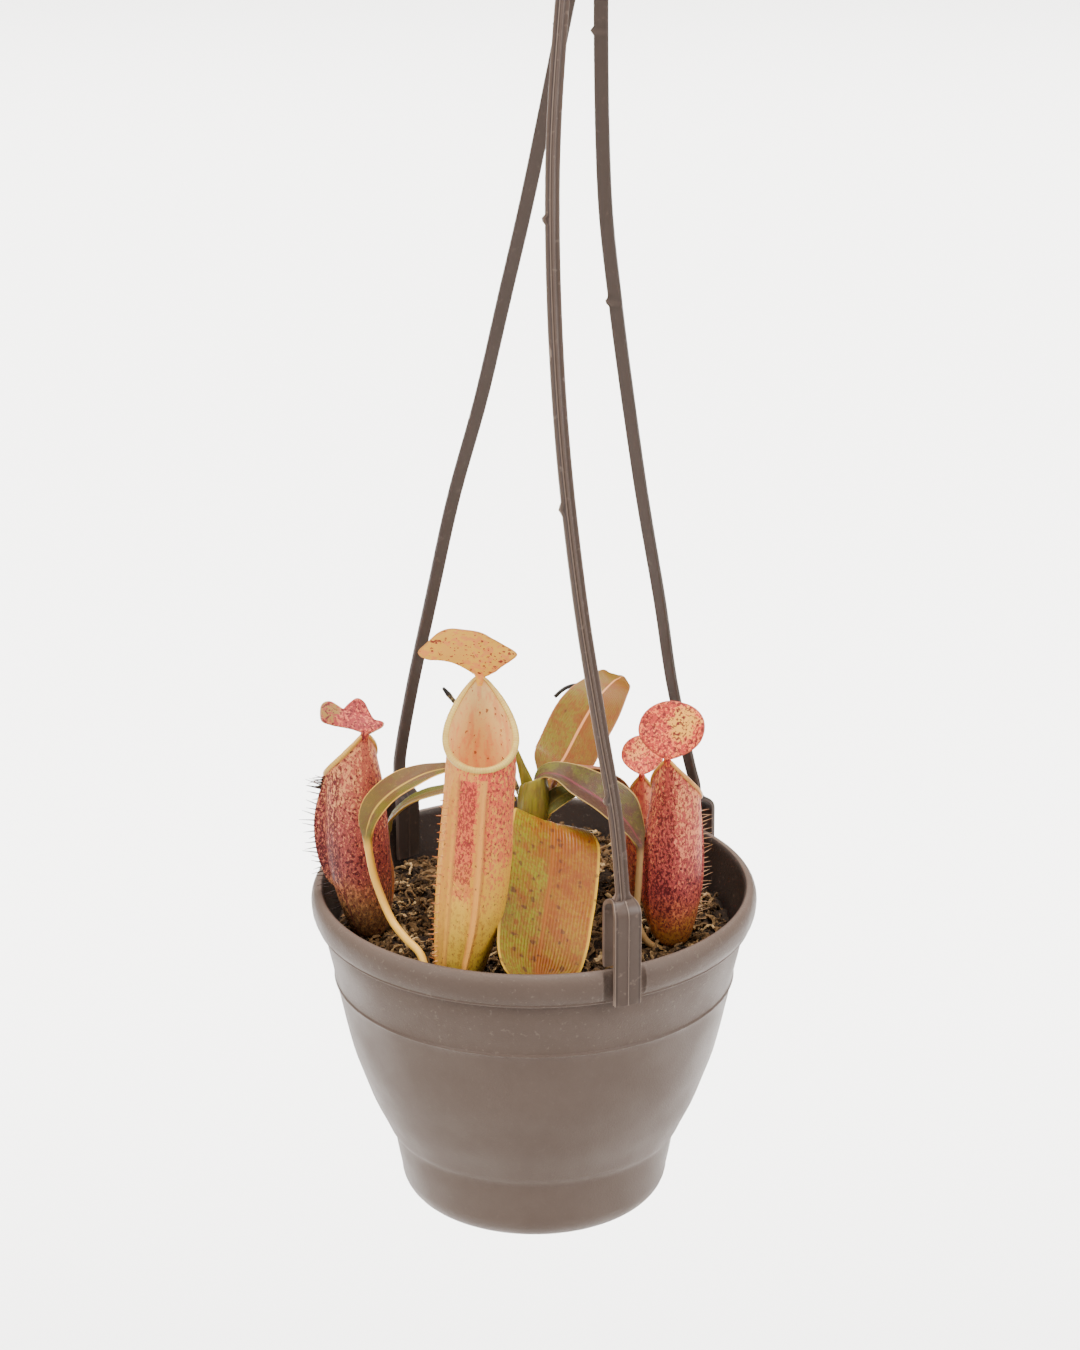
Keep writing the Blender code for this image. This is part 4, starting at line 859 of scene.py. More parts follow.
# A row is (x, y, z, half width, roundness): the midrib's place, and the section there, which
# roundness takes from a flat blade to a round stalk. side is the blade's own, fold the degrees
# that each half is raised, and wave is (height, waves along the blade, where they start).
LEAVES = {
    "leaf_back": dict(
        route=[(2.0, 8.4, 140.0, 2.0, 0.6), (5.2, 12.2, 140.9, 5.2, 0.15),
               (7.8, 14.6, 144.3, 9.2, 0), (10.2, 17.2, 146.9, 10.6, 0),
               (15.4, 23.8, 154.9, 11.0, 0), (20.7, 29.6, 161.9, 9.8, 0),
               (25.7, 35.6, 165.3, 7.0, 0), (27.9, 38.4, 165.5, 4.6, 0.05),
               (28.6, 40.2, 164.7, 1.1, 0.8)],
        tendril=[(25.8, 43.0, 162.2), (20.6, 43.5, 161.2), (14.5, 42.0, 162.2),
                 (10.2, 39.5, 162.0), (6.8, 37.5, 159.8)],
        thick=0.65, side=(0.79, -0.50, -0.25), fold=7, wave=(0.5, 4.0, 0.3)),
    "leaf_right": dict(
        route=[(0.4, -0.6, 143.6, 1.9, 0.6), (1.9, -1.0, 147.0, 3.6, 0.2),
               (4.4, -1.4, 148.7, 4.6, 0), (8.9, -2.8, 148.4, 5.2, 0),
               (14.3, -4.8, 145.8, 7.4, 0), (20.7, -8.2, 142.9, 9.0, 0),
               (26.0, -11.6, 140.0, 8.4, 0), (30.0, -14.6, 136.8, 5.8, 0),
               (32.6, -17.0, 133.4, 3.5, 0.05), (34.0, -18.6, 129.8, 1.3, 0.8)],
        tendril=[(33.6, -19.8, 118.6), (33.2, -20.6, 107.0), (36.2, -20.4, 98.6),
                 (41.6, -17.0, 93.6)],
        thick=1.1, side=(-0.1, -0.9, -0.38), fold=22, wave=(0.4, 3.0, 1.0)),
    "leaf_rear": dict(
        route=[(4.4, 2.8, 134.0, 1.6, 0.6), (6.6, 3.4, 144.2, 2.0, 0.2),
               (10.0, 4.8, 147.4, 3.3, 0), (13.8, 5.6, 147.8, 4.0, 0),
               (18.2, 6.2, 147.3, 4.2, 0), (22.8, 7.2, 145.8, 4.1, 0),
               (27.0, 9.0, 142.6, 3.6, 0), (29.6, 10.6, 138.0, 2.4, 0.1),
               (30.2, 11.2, 132.6, 1.1, 0.9)],
        tendril=[(29.4, 11.4, 123.0), (28.6, 11.4, 112.0), (29.4, 12.8, 102.0),
                 (33.0, 15.6, 94.6)],
        thick=0.95, side=(0.0, -0.95, -0.2), fold=10, wave=(0.3, 3.0, 2.0)),
    "leaf_small": dict(
        route=[(3.6, -3.4, 134.2, 1.6, 0.6), (4.4, -3.6, 137.6, 3.0, 0.2),
               (6.0, -3.4, 139.4, 3.9, 0), (8.2, -2.6, 140.8, 4.1, 0),
               (10.8, -1.0, 141.7, 3.4, 0), (13.2, 0.8, 141.6, 2.1, 0),
               (14.6, 2.2, 141.1, 0.9, 0.6)],
        tendril=[], thick=0.8, side=(0.55, -0.8, -0.2), fold=16, wave=(0.2, 2.0, 0.0)),
    "leaf_front": dict(
        route=[(0.6, -6.2, 127.4, 2.2, 0.6), (2.4, -9.0, 132.6, 6.2, 0.2),
               (5.6, -12.6, 136.4, 13.0, 0), (6.1, -18.6, 135.0, 15.3, 0),
               (5.7, -26.2, 129.4, 15.9, 0), (4.7, -33.4, 123.4, 16.2, 0),
               (3.5, -40.5, 117.6, 15.7, 0), (2.1, -48.4, 111.2, 15.4, 0),
               (0.9, -55.0, 105.4, 13.4, 0), (0.9, -58.4, 100.6, 5.2, 0.1)],
        tendril=[], thick=0.9, side=(-1.0, 0.0, -0.20), fold=6, wave=(0.45, 3.0, 0.8)),
    "leaf_left": dict(
        route=[(-6.8, -1.0, 139.6, 1.8, 0.6), (-9.8, -1.2, 145.4, 2.2, 0.3),
               (-14.2, -3.0, 149.8, 2.0, 0.1), (-23.1, -8.6, 154.2, 2.0, 0),
               (-29.1, -12.0, 154.8, 3.0, 0), (-34.8, -14.6, 154.2, 4.4, 0),
               (-40.3, -17.2, 152.4, 5.4, 0), (-45.6, -20.0, 149.8, 5.8, 0),
               (-49.9, -22.6, 146.2, 5.6, 0), (-52.2, -24.8, 142.0, 3.9, 0),
               (-52.8, -26.8, 136.5, 1.7, 0.6)],
        tendril=[(-51.4, -29.2, 127.4), (-48.6, -32.6, 119.6), (-45.0, -37.6, 113.4),
                 (-40.6, -44.2, 110.4), (-36.0, -50.2, 108.0), (-33.8, -54.8, 102.6),
                 (-31.6, -56.2, 97.6), (-28.6, -54.4, 94.6)],
        thick=1.3, side=(-0.35, 1.0, 0.2), fold=20, wave=(0.25, 3.0, 0.5)),
    "leaf_left_low": dict(
        route=[(-6.8, 2.2, 133.0, 1.8, 0.6), (-10.4, 3.0, 138.5, 3.0, 0.2),
               (-16.8, 3.4, 141.2, 4.2, 0), (-23.3, 3.4, 142.1, 4.9, 0),
               (-29.5, 3.2, 141.2, 5.2, 0), (-35.0, 2.8, 139.8, 5.2, 0),
               (-40.2, 2.4, 137.5, 5.0, 0), (-44.4, 2.2, 134.2, 4.4, 0),
               (-46.9, 2.4, 130.6, 3.0, 0.05), (-48.0, 3.0, 125.0, 1.4, 0.7)],
        tendril=[(-47.8, 4.2, 118.6), (-46.8, 5.4, 111.0), (-47.2, 5.4, 102.0),
                 (-50.0, 1.6, 94.0)],
        thick=1.15, side=(-0.2, 1.0, 0.2), fold=6, wave=(0.2, 3.0, 1.4)),
}
LEAF_EDGE, MIDRIB_THICK = 0.55, 1.7
LEAF_COLUMNS = 10            # half the number of blade strips across a leaf
ROWS_PER_SPAN = 7
UPPER_SHARE, LOWER_SHARE = 0.7, 1.3      # of a blade's thickness above and below its middle
THINNEST = 0.15              # share of a blade's thickness that is left at its rim
LEAF_SHARP = 50.0


def rounded_edge(share):
    """Return how thick a blade still is, as share runs from its middle to its rim."""
    return math.sqrt(max(0.0, 1.0 - max(0.0, (share - 0.9) / 0.1) ** 2))


def leaf_loft(leaf):
    """Return a waved blade that runs on into its tendril, and its blade's share of V."""
    spans = len(leaf["route"]) - 1 + len(leaf["tendril"])
    rows = leaf["route"] + [(*point, leaf["thick"], 1.0) for point in leaf["tendril"]]
    knots = smooth_route(rows, spans * ROWS_PER_SPAN)
    path = [Vector(row[:3]) for row in knots]
    blade_share = (len(leaf["route"]) - 1) / spans
    side = Vector(leaf["side"])
    shares = [math.sin(math.pi / 2 * k / LEAF_COLUMNS)
              for k in range(-LEAF_COLUMNS, LEAF_COLUMNS + 1)]
    height, times, start = leaf["wave"]
    rings = []
    for number, (row, along) in enumerate(zip(knots, directions(path))):
        half, round_ = row[3], min(max(row[4], 0.0), 1.0)
        side = (side - side.dot(along) * along).normalized()
        up = side.cross(along)
        down_blade = number / (len(knots) - 1) / blade_share
        flat_here = round_ < 0.5
        above, below = (UPPER_SHARE, LOWER_SHARE) if flat_here else (1.0, 1.0)
        upper, lower = [], []
        for s in shares:
            rib = math.exp(-(s * half / 0.9) ** 2)
            flat = LEAF_EDGE / 2 + (MIDRIB_THICK - LEAF_EDGE) / 2 * rib * min(1.0, half / 4.0)
            full = half * max(math.sqrt(max(0.0, 1 - s * s)), 0.02)
            thick = flat + (full - flat) * round_
            thick *= max(rounded_edge(abs(s)), THINNEST) if flat_here else 1.0
            lift = (1 - round_) * half * abs(s) * math.tan(math.radians(leaf["fold"]))
            ripple = math.sin(2 * math.pi * times * down_blade + start + (1.9 if s > 0 else 0.0))
            lift += height * ripple * s * s * (1 - round_) * min(1.0, half / 6.0)
            middle = Vector(row[:3]) + half * s * side + lift * up
            upper.append(middle + thick * above * up)
            lower.append(middle - thick * below * up)
        rings.append(upper + lower[::-1])
    across = [(s + 1) / 2 for s in shares]
    return loft(rings, around=across + across[::-1] + [across[0]]), blade_share


def leaf_finish(name, blade, looks):
    """Colour a leaf by its own UV: U runs across it, and V from its base to its tendril's end."""
    material, tree, shader, place = plant_skin(name, 0.42, 0.06, 0.06)
    across, down = skin_uv(tree)
    uneven = grit(tree, place, 170.0, 4.0)
    shift = reckon(tree, "MULTIPLY_ADD", uneven, 0.5, -0.25)
    halves = fade(tree, reckon(tree, "ADD", across, reckon(tree, "MULTIPLY", shift, 0.4)),
                  0.44, 0.56)
    colour = tint(tree, halves, looks["low_side"], looks["high_side"])
    tip = fade(tree, reckon(tree, "ADD", down, shift), 0.25 * blade, 0.95 * blade)
    colour = glaze(tree, tip, 0.5, colour, looks["tip"])
    foot = fade(tree, reckon(tree, "ADD", down, reckon(tree, "MULTIPLY", shift, 0.5)),
                0.45 * blade, 0.15 * blade)
    colour = glaze(tree, foot, 0.8, colour, looks.get("foot", looks["low_side"]))
    off_rib = reckon(tree, "ABSOLUTE", reckon(tree, "SUBTRACT", across, 0.5))
    share = reckon(tree, "MULTIPLY_ADD", fade(tree, off_rib, 0.0, 0.4, 1.0, 0.0), 0.3,
                   looks.get("blush_share", 0.5) - 0.1)
    colour = glaze(tree, mottle(tree, place, 5.0, share, 0.12), 0.7, colour, looks["blush"])
    grains = mottle(tree, moved(tree, place, 0.3), 1.1, looks.get("grains", 0.35), 0.06)
    colour = glaze(tree, grains, 0.5, colour, looks["blush"])
    pale = mottle(tree, moved(tree, place, 0.7), 1.2, 0.2, 0.05)
    colour = glaze(tree, pale, looks.get("pale", 0.12), colour, looks["margin"])
    rib = fade(tree, off_rib, looks.get("rib_wide", 0.05), 0.012)
    on_blade = fade(tree, down, blade, blade * 0.94)
    colour = glaze(tree, rib, reckon(tree, "MULTIPLY", on_blade, 0.85), colour, looks["rib"])
    margin = reckon(tree, "MULTIPLY", fade(tree, off_rib, 0.462, 0.482), on_blade)
    colour = glaze(tree, margin, 0.9, colour, looks["margin"])
    spots = flecks(tree, place, looks.get("spot_size", 3.4), looks["spots"])
    colour = glaze(tree, spots, reckon(tree, "MULTIPLY", on_blade, 0.75), colour, looks["spot"])
    colour = tint(tree, fade(tree, down, blade * 0.97, blade * 1.03), colour, looks["tendril"])
    waves = add_node(tree, "ShaderNodeTexWave", {
        "Vector": add_node(tree, "ShaderNodeCombineXYZ", {"X": off_rib}).outputs["Vector"],
        "Scale": 9.0, "Distortion": 0.6, "Detail": 1.0}, wave_type="BANDS")
    veins = reckon(tree, "MULTIPLY_ADD", waves.outputs["Fac"], 0.7,
                   reckon(tree, "MULTIPLY", uneven, 0.6))
    dress(tree, shader, colour, veins, reckon(tree, "MULTIPLY", on_blade, 0.45), 0.35)
    return material


LEAF_LOOKS = {
    "leaf_back": ("leaf_orange", dict(
        low_side=(0.205, 0.150, 0.010), high_side=(0.225, 0.105, 0.010), tip=(0.25, 0.095, 0.010),
        blush=(0.24, 0.060, 0.008), rib=(0.90, 0.36, 0.14), rib_wide=0.026, grains=0.40,
        margin=(0.34, 0.13, 0.04), foot=(0.23, 0.14, 0.014),
        spot=(0.10, 0.025, 0.008), spots=0.16, tendril=(0.02, 0.013, 0.010), blush_share=0.30)),
    "leaf_right": ("leaf_purple", dict(
        low_side=(0.135, 0.110, 0.018), high_side=(0.105, 0.050, 0.028), tip=(0.085, 0.040, 0.02),
        blush=(0.105, 0.036, 0.028), rib=(0.24, 0.05, 0.06), margin=(0.60, 0.38, 0.10),
        foot=(0.20, 0.18, 0.02), blush_share=0.4,
        spot=(0.08, 0.025, 0.02), spots=0.06, tendril=(0.42, 0.24, 0.09))),
    "leaf_rear": ("leaf_pink", dict(
        low_side=(0.44, 0.18, 0.10), high_side=(0.40, 0.16, 0.09), tip=(0.44, 0.19, 0.11),
        blush=(0.38, 0.10, 0.06), rib=(0.55, 0.24, 0.14), margin=(0.6, 0.30, 0.12),
        spot=(0.2, 0.05, 0.04), spots=0.08, tendril=(0.50, 0.20, 0.10))),
    "leaf_small": ("leaf_green", dict(
        low_side=(0.155, 0.150, 0.024), high_side=(0.125, 0.115, 0.020), tip=(0.15, 0.14, 0.026),
        blush=(0.20, 0.14, 0.03), rib=(0.30, 0.24, 0.05), margin=(0.80, 0.60, 0.16),
        spot=(0.07, 0.05, 0.01), spots=0.06, grains=0.2, blush_share=0.25,
        tendril=(0.2, 0.15, 0.04))),
    "leaf_front": ("leaf_orange", dict(
        low_side=(0.335, 0.112, 0.003), high_side=(0.26, 0.225, 0.004), tip=(0.29, 0.20, 0.004),
        blush=(0.29, 0.060, 0.004), rib=(0.36, 0.10, 0.006), rib_wide=0.035,
        margin=(0.80, 0.44, 0.03), foot=(0.30, 0.24, 0.010), grains=0.50,
        spot=(0.11, 0.028, 0.006), spots=0.30, spot_size=3.0, tendril=(0.4, 0.2, 0.04),
        blush_share=0.36)),
    "leaf_left": ("leaf_purple", dict(
        low_side=(0.155, 0.125, 0.012), high_side=(0.160, 0.085, 0.030), tip=(0.19, 0.135, 0.016),
        blush=(0.17, 0.058, 0.028), rib=(0.70, 0.42, 0.06), margin=(0.95, 0.50, 0.08),
        spot=(0.12, 0.05, 0.03), spots=0.05, grains=0.2, blush_share=0.35, pale=0.06,
        tendril=(0.95, 0.52, 0.08))),
    "leaf_left_low": ("leaf_green", dict(
        low_side=(0.22, 0.115, 0.035), high_side=(0.135, 0.125, 0.010), tip=(0.15, 0.13, 0.012),
        blush=(0.19, 0.10, 0.02), rib=(0.26, 0.17, 0.045), margin=(0.62, 0.40, 0.09),
        spot=(0.10, 0.05, 0.02), spots=0.05, grains=0.15, blush_share=0.25, pale=0.06,
        tendril=(0.66, 0.24, 0.09))),
}

for name, (slot_name, looks) in LEAF_LOOKS.items():
    shape, blade = leaf_loft(LEAVES[name])
    leaf = mould(name + "_blade", shape, [leaf_finish(name + "_skin", blade, looks)],
                 LEAF_SHARP)
    stand_for(leaf, slot_name, name)


# ---------------------------------------------------------------- pitchers
# Each pitcher is a thin-walled leaf grown into a cup: a rolled ribbed mouth, a lid on a short
# neck behind it, and on the larger ones two fringed wings down the front of the cup.

# A body row is (x, y, height, radius) of a level slice, from the rounded bottom up. turn is
# where a pitcher's front looks, wings the angle from there to the middle of its wings, and wing
# (height, lowest, highest). front and neck are the heights of its mouth's edge, and mouth is
# (half width, reach forward, reach back). A lid's points are (along from its hinge, aside).
PITCHERS = {
    "pitcher_front": dict(
        body=[(-24.8, -49.4, 93.4, 3.0), (-24.5, -49.2, 96.0, 5.6), (-23.6, -48.4, 102.0, 7.8),
              (-22.0, -46.8, 111.0, 9.6), (-20.3, -45.2, 121.0, 11.1),
              (-18.6, -43.4, 138.0, 11.7), (-17.6, -42.2, 154.0, 11.3),
              (-16.6, -41.4, 168.0, 11.2)],
        turn=2.0, wings=-22.0, wing=(2.4, 95.0, 168.0),
        front=171.0, neck=194.5, mouth=(11.2, 10.6, 9.8), lip=0.98,
        lid=dict(turn=-4.0, rise=57.0, cup=-0.06, wave=0.7, phase=0.4, centre=(14.0, -4.0),
                 outline=[(-1.0, 0.4), (3.2, -4.4), (6.8, -8.4), (9.3, -12.6), (11.4, -15.9),
                          (15.0, -18.4), (18.4, -15.8), (22.8, -12.2), (24.8, -8.6),
                          (25.8, -4.9), (25.4, -1.2), (23.4, 2.5), (20.4, 5.1), (16.2, 8.7),
                          (13.2, 12.4), (9.8, 10.3), (6.5, 7.6), (2.0, 4.6)])),
    "pitcher_left": dict(
        body=[(-53.6, -5.4, 93.6, 3.0), (-53.7, -5.4, 96.0, 5.6), (-54.2, -5.4, 102.0, 7.7),
              (-55.4, -5.3, 111.0, 9.3), (-56.6, -5.2, 121.0, 10.1), (-57.4, -5.0, 133.0, 10.2),
              (-57.6, -4.6, 145.0, 9.4)],
        turn=218.0, wings=24.0, wing=(3.6, 111.0, 148.0),
        front=147.0, neck=165.5, mouth=(8.9, 8.6, 5.6), lip=0.9,
        lid=dict(turn=190.0, rise=35.0, cup=0.0, wave=0.8, phase=2.0, centre=(7.0, 3.2),
                 outline=[(9.9, 13.2), (12.5, 11.9), (13.3, 9.4), (11.7, 7.3), (9.8, 5.9),
                          (11.5, 3.7), (13.2, 0.9), (11.5, -1.4), (8.0, -2.8), (5.1, -4.3),
                          (3.9, -6.6), (2.0, -6.3), (0.7, -4.2), (-0.6, -0.9), (0.6, 1.6),
                          (1.8, 3.9), (3.0, 7.3), (4.0, 10.6), (5.4, 13.4)])),
    "pitcher_right": dict(
        body=[(45.0, -12.6, 94.0, 3.0), (44.8, -12.6, 96.4, 5.6), (44.4, -12.5, 102.0, 7.8),
              (44.2, -12.2, 110.0, 9.4), (44.3, -11.8, 120.0, 9.8), (44.6, -11.2, 131.0, 9.4),
              (45.3, -10.6, 140.0, 8.5)],
        turn=158.0, wings=-20.0, wing=(1.6, 100.0, 140.0),
        front=141.0, neck=160.0, mouth=(8.0, 7.8, 7.2), lip=0.75,
        lid=dict(turn=168.0, rise=44.0, length=20.5, half=10.8, cup=0.12, wave=0.4,
                 phase=0.0)),
    "pitcher_rear": dict(
        body=[(35.6, 19.4, 94.4, 2.2), (35.6, 19.4, 96.4, 3.8), (35.7, 19.6, 101.0, 5.0),
              (35.9, 20.0, 108.0, 5.7), (36.0, 20.3, 116.0, 5.8), (35.8, 20.6, 124.0, 5.3)],
        turn=172.0, wings=None, wing=(0.0, 96.0, 120.0),
        front=126.0, neck=140.5, mouth=(4.9, 4.9, 4.6), lip=0.65,
        lid=dict(turn=176.0, rise=40.0, length=14.5, half=7.0, cup=0.12, wave=0.3,
                 phase=0.0)),
}
WING_SPREAD = 28.0           # degrees from the middle of a pitcher's front to each wing
WING_WIDTH = 4.0             # degrees over which a wing falls away to the cup's wall
TAPER, MOUTH_BEND = 0.75, 1.6
PITCHER_WALL = 0.8
BODY_ROWS, BROW_ROWS = 40, 14
CUP_SHARP, LID_SHARP = 60.0, 70.0


def wing_centres(wings):
    """Return the angles of a cup's two wings, or none."""
    return [] if wings is None else [(wings + s * WING_SPREAD) % 360 for s in (-1, 1)]


def cup_columns(centres):
    """Return the angles round a cup from its front, closer together along its wings."""
    angles = [4.0 * k for k in range(90)]
    angles = [a for a in angles if all(apart(a, c) > 9.0 for c in centres)]
    fine = [(c + d) % 360 for c in centres for d in (-8, -6, -4.5, -3, -1.5, 0, 1.5, 3, 4.5, 6, 8)]
    return sorted(angles + fine)


def mouth_point(spec, angle):
    """Return (across, forward, height) on the slanted tear-shaped edge of a mouth."""
    half_width, front_reach, back_reach = spec["mouth"]
    rise = (1 - cosine(angle)) / 2
    across = half_width * sine(angle) * (1 - TAPER * rise) / 0.71
    forward = front_reach - (front_reach + back_reach) * (1 - (1 - rise) ** MOUTH_BEND)
    return across, forward, spec["front"] + (spec["neck"] - spec["front"]) * rise


def facing(turn):
    """Return the level unit vectors ahead and aside of something that looks along a turn."""
    ahead = heading(turn)
    return ahead, UP.cross(ahead)


def wall_point(spec, row, angle):
    """Return a point on a cup's round wall, on the slice that a body row gives."""
    ahead, aside = facing(spec["turn"])
    return Vector(row[:3]) + row[3] * (cosine(angle) * ahead + sine(angle) * aside)


def mouth_edge(spec, angle):
    """Return a point on the edge of a cup's mouth."""
    ahead, aside = facing(spec["turn"])
    across, forward, height = mouth_point(spec, angle)
    x, y = spec["body"][-1][:2]
    return Vector((x, y, height)) + across * aside + forward * ahead


def cup_grid(spec, columns):
    """Return the rows of the cup's outer face, from its bottom to the edge of its mouth."""
    rows = [[wall_point(spec, slice_, angle) for angle in columns]
            for slice_ in smooth_route(spec["body"], BODY_ROWS)]
    last, before = rows[-1], rows[-2]
    for step in range(1, BROW_ROWS + 1):
        t = step / BROW_ROWS
        row = []
        for angle, below, under in zip(columns, last, before):
            edge = mouth_edge(spec, angle)
            climb = (below - under).normalized() * (edge - below).length * 0.35
            row.append(below.lerp(edge, t) + climb * t * (1 - t) ** 2)
        rows.append(row)
    return rows


def grid_normals(rows):
    count = len(rows[0])
    normals = []
    for i, row in enumerate(rows):
        below, above = rows[max(i - 1, 0)], rows[min(i + 1, len(rows) - 1)]
        normals.append([(row[(k + 1) % count] - row[k - 1]).cross(above[k] - below[k]).normalized()
                        for k in range(count)])
    return normals


def wing_height(spec, z, angle, centres):
    height, low, high = spec["wing"]
    share = min(max((z - low) / (high - low), 0.0), 1.0)
    near = max([math.exp(-(apart(angle, c) / (WING_WIDTH / 2)) ** 2) for c in centres] or [0.0])
    return height * math.sqrt(math.sin(math.pi * share)) * near


def cup_loft(spec):
    """Return the cup: its outer face with the wings, the edge under the lip, and its inside."""
    centres = wing_centres(spec["wings"])
    columns = cup_columns(centres)
    outer = cup_grid(spec, columns)
    normals = grid_normals(outer)
    body_low, body_high = spec["body"][0][2], spec["neck"]
    rings = [[p + wing_height(spec, row[0].z, a, centres) * n
              for p, n, a in zip(row, normal, columns)] for row, normal in zip(outer, normals)]
    inner = [[p - PITCHER_WALL * n for p, n in zip(row, normal)]
             for row, normal in zip(outer, normals)]
    outside = len(rings)
    rings += inner[:2:-1]
    heights = [(sum(p.z for p in ring) / len(ring) - body_low) / (body_high - body_low)
               for ring in rings]
    around = [a / 360.0 for a in columns] + [1.0 + columns[0] / 360.0]
    shape = loft(rings, around=around, along=heights)
    slots = [0 if i < (outside - 1) * len(columns) else 1
             for i in range((len(rings) - 1) * len(columns))]
    return shape, slots + [0] * len(columns) + [1] * len(columns), (outer, normals, columns)


LIP_SIDES, LIP_COLUMNS = 12, 420
LIP_WIDE, LIP_HIGH = 1.12, 0.85          # a lip's half width and height, before its own size


def lip_loft(spec, ribs):
    """Return the rolled edge of the mouth, finely ribbed across, as one closed ring."""
    rings = []
    for k in range(LIP_COLUMNS):
        angle = 360.0 * k / LIP_COLUMNS
        edge = mouth_edge(spec, angle)
        climb = (edge - wall_point(spec, spec["body"][-1], angle)).normalized()
        along = (mouth_edge(spec, angle + 0.5) - mouth_edge(spec, angle - 0.5)).normalized()
        out = along.cross(climb).normalized()
        climb = out.cross(along).normalized()
        tip = (1 - cosine(angle)) / 2
        size = spec["lip"] * (1.0 - 0.30 * max(0.0, tip - 0.75) / 0.25)
        size *= 1.0 + 0.05 * math.cos(math.radians(angle) * ribs)
        ring = []
        for j in range(LIP_SIDES):
            lean = 2 * math.pi * j / LIP_SIDES
            x, y = math.cos(lean), math.sin(lean)
            droop = 0.55 if x > 0 and y < 0 else 0.0
            ring.append(edge + size * ((LIP_WIDE * x - 0.33) * out
                                       + (LIP_HIGH * y + 0.75 - droop * x) * climb))
        rings.append(ring)
    points = [p for ring in rings for p in ring]
    faces, corners = [], []
    for k in range(LIP_COLUMNS):
        for j in range(LIP_SIDES):
            quad = [(k, j), (k + 1, j), (k + 1, j + 1), (k, j + 1)]
            faces.append([a % LIP_COLUMNS * LIP_SIDES + c % LIP_SIDES for a, c in quad])
            corners += [(a / LIP_COLUMNS, c / LIP_SIDES) for a, c in quad]
    return points, faces, corners


LID_HALF_THICK = 0.30
LID_SIDES = 72


def lid_hinge(spec):
    return mouth_edge(spec, 180.0) + 0.9 * spec["lip"] * UP


def closed_curve(points, count):
    """Return count points, evenly by span, on a smooth closed curve through the given ones."""
    result = []
    for k in range(count):
        span, t = divmod(k * len(points) / count, 1.0)
        knots = [Vector(points[(int(span) + step) % len(points)]) for step in (-1, 0, 1, 2)]
        result.append(between(knots, t))
    return result


def lid_rim(lid):
    """Return a lid's middle and rim, each as (along from its hinge, aside)."""
    if "outline" in lid:
        return Vector(lid["centre"]), closed_curve(lid["outline"], LID_SIDES)
    half = lid["length"] / 2
    rim = []
    for k in range(LID_SIDES):
        angle = 2 * math.pi * k / LID_SIDES
        pinch = 1 - 0.45 * max(0.0, math.cos(angle)) ** 3
        rim.append(Vector((half * (1 - math.cos(angle)), lid["half"] * math.sin(angle) * pinch)))
    return Vector((half, 0.0)), rim


def lid_point(lid, hinge, share, number, lift):
    """Return a point of a lid: share runs from its middle to its rim, lift is across it."""
    ahead, aside = facing(lid["turn"])
    along = cosine(lid["rise"]) * ahead + sine(lid["rise"]) * UP
    normal = aside.cross(along)
    middle, rim = lid_rim(lid)
    u, v = middle.lerp(rim[number], share)
    angle = 2 * math.pi * number / LID_SIDES
    bend = lid["cup"] * v * v / 10.0
    bend += lid["wave"] * share ** 2 * math.sin(3 * angle + lid["phase"])
    bend += 0.25 * lid["wave"] * share ** 3 * math.sin(7 * angle + 2 * lid["phase"])
    bend -= 0.35 * math.exp(-(v / 1.1) ** 2) * (1 - share * share)
    bend *= min(1.0, max(0.0, u) / 8.0)
    return hinge + u * along + v * aside - (bend + lift) * normal


def lid_loft(spec):
    """Return a lid, from the middle of its upper face round its rim and back underneath."""
    lid, hinge = spec["lid"], lid_hinge(spec)
    shares = [0.1, 0.2, 0.3, 0.4, 0.5, 0.6, 0.7, 0.8, 0.88, 0.94, 0.98, 1.0]
    around = [(-1, share) for share in shares] + [(1, share) for share in shares[-2::-1]]
    rings = [[lid_point(lid, hinge, share, k, side * LID_HALF_THICK * rounded_edge(share))
              for k in range(LID_SIDES)] for side, share in around]
    return loft(rings, along=[share for _, share in around])


def neck_loft(spec):
    """Return the short neck from the back of the mouth into the lid."""
    hinge, size = lid_hinge(spec), spec["lip"]
    foot = hinge - 3.2 * size * UP
    rim = lid_rim(spec["lid"])[1]
    nearest = min(range(LID_SIDES), key=lambda k: rim[k].length)
    root = lid_point(spec["lid"], hinge, 0.84, nearest, 0.0)
    rows = [(*foot, 1.0 * size), (*(hinge - 1.2 * size * UP), 1.5 * size),
            (*hinge, 1.55 * size), (*hinge.lerp(root, 0.5), 1.15 * size), (*root, 0.55 * size)]
    return rod(rows, 24, 20)


def spur_loft(spec):
    """Return the small pointed spur behind the neck."""
    hinge, back = lid_hinge(spec), -heading(spec["turn"])
    rows = [(*(hinge + reach * back + rise * UP), radius * spec["lip"])
            for reach, rise, radius in ((0.0, -0.6, 0.75), (1.4, 0.5, 0.45), (2.6, 1.6, 0.16))]
    return rod(rows, 12, 10)


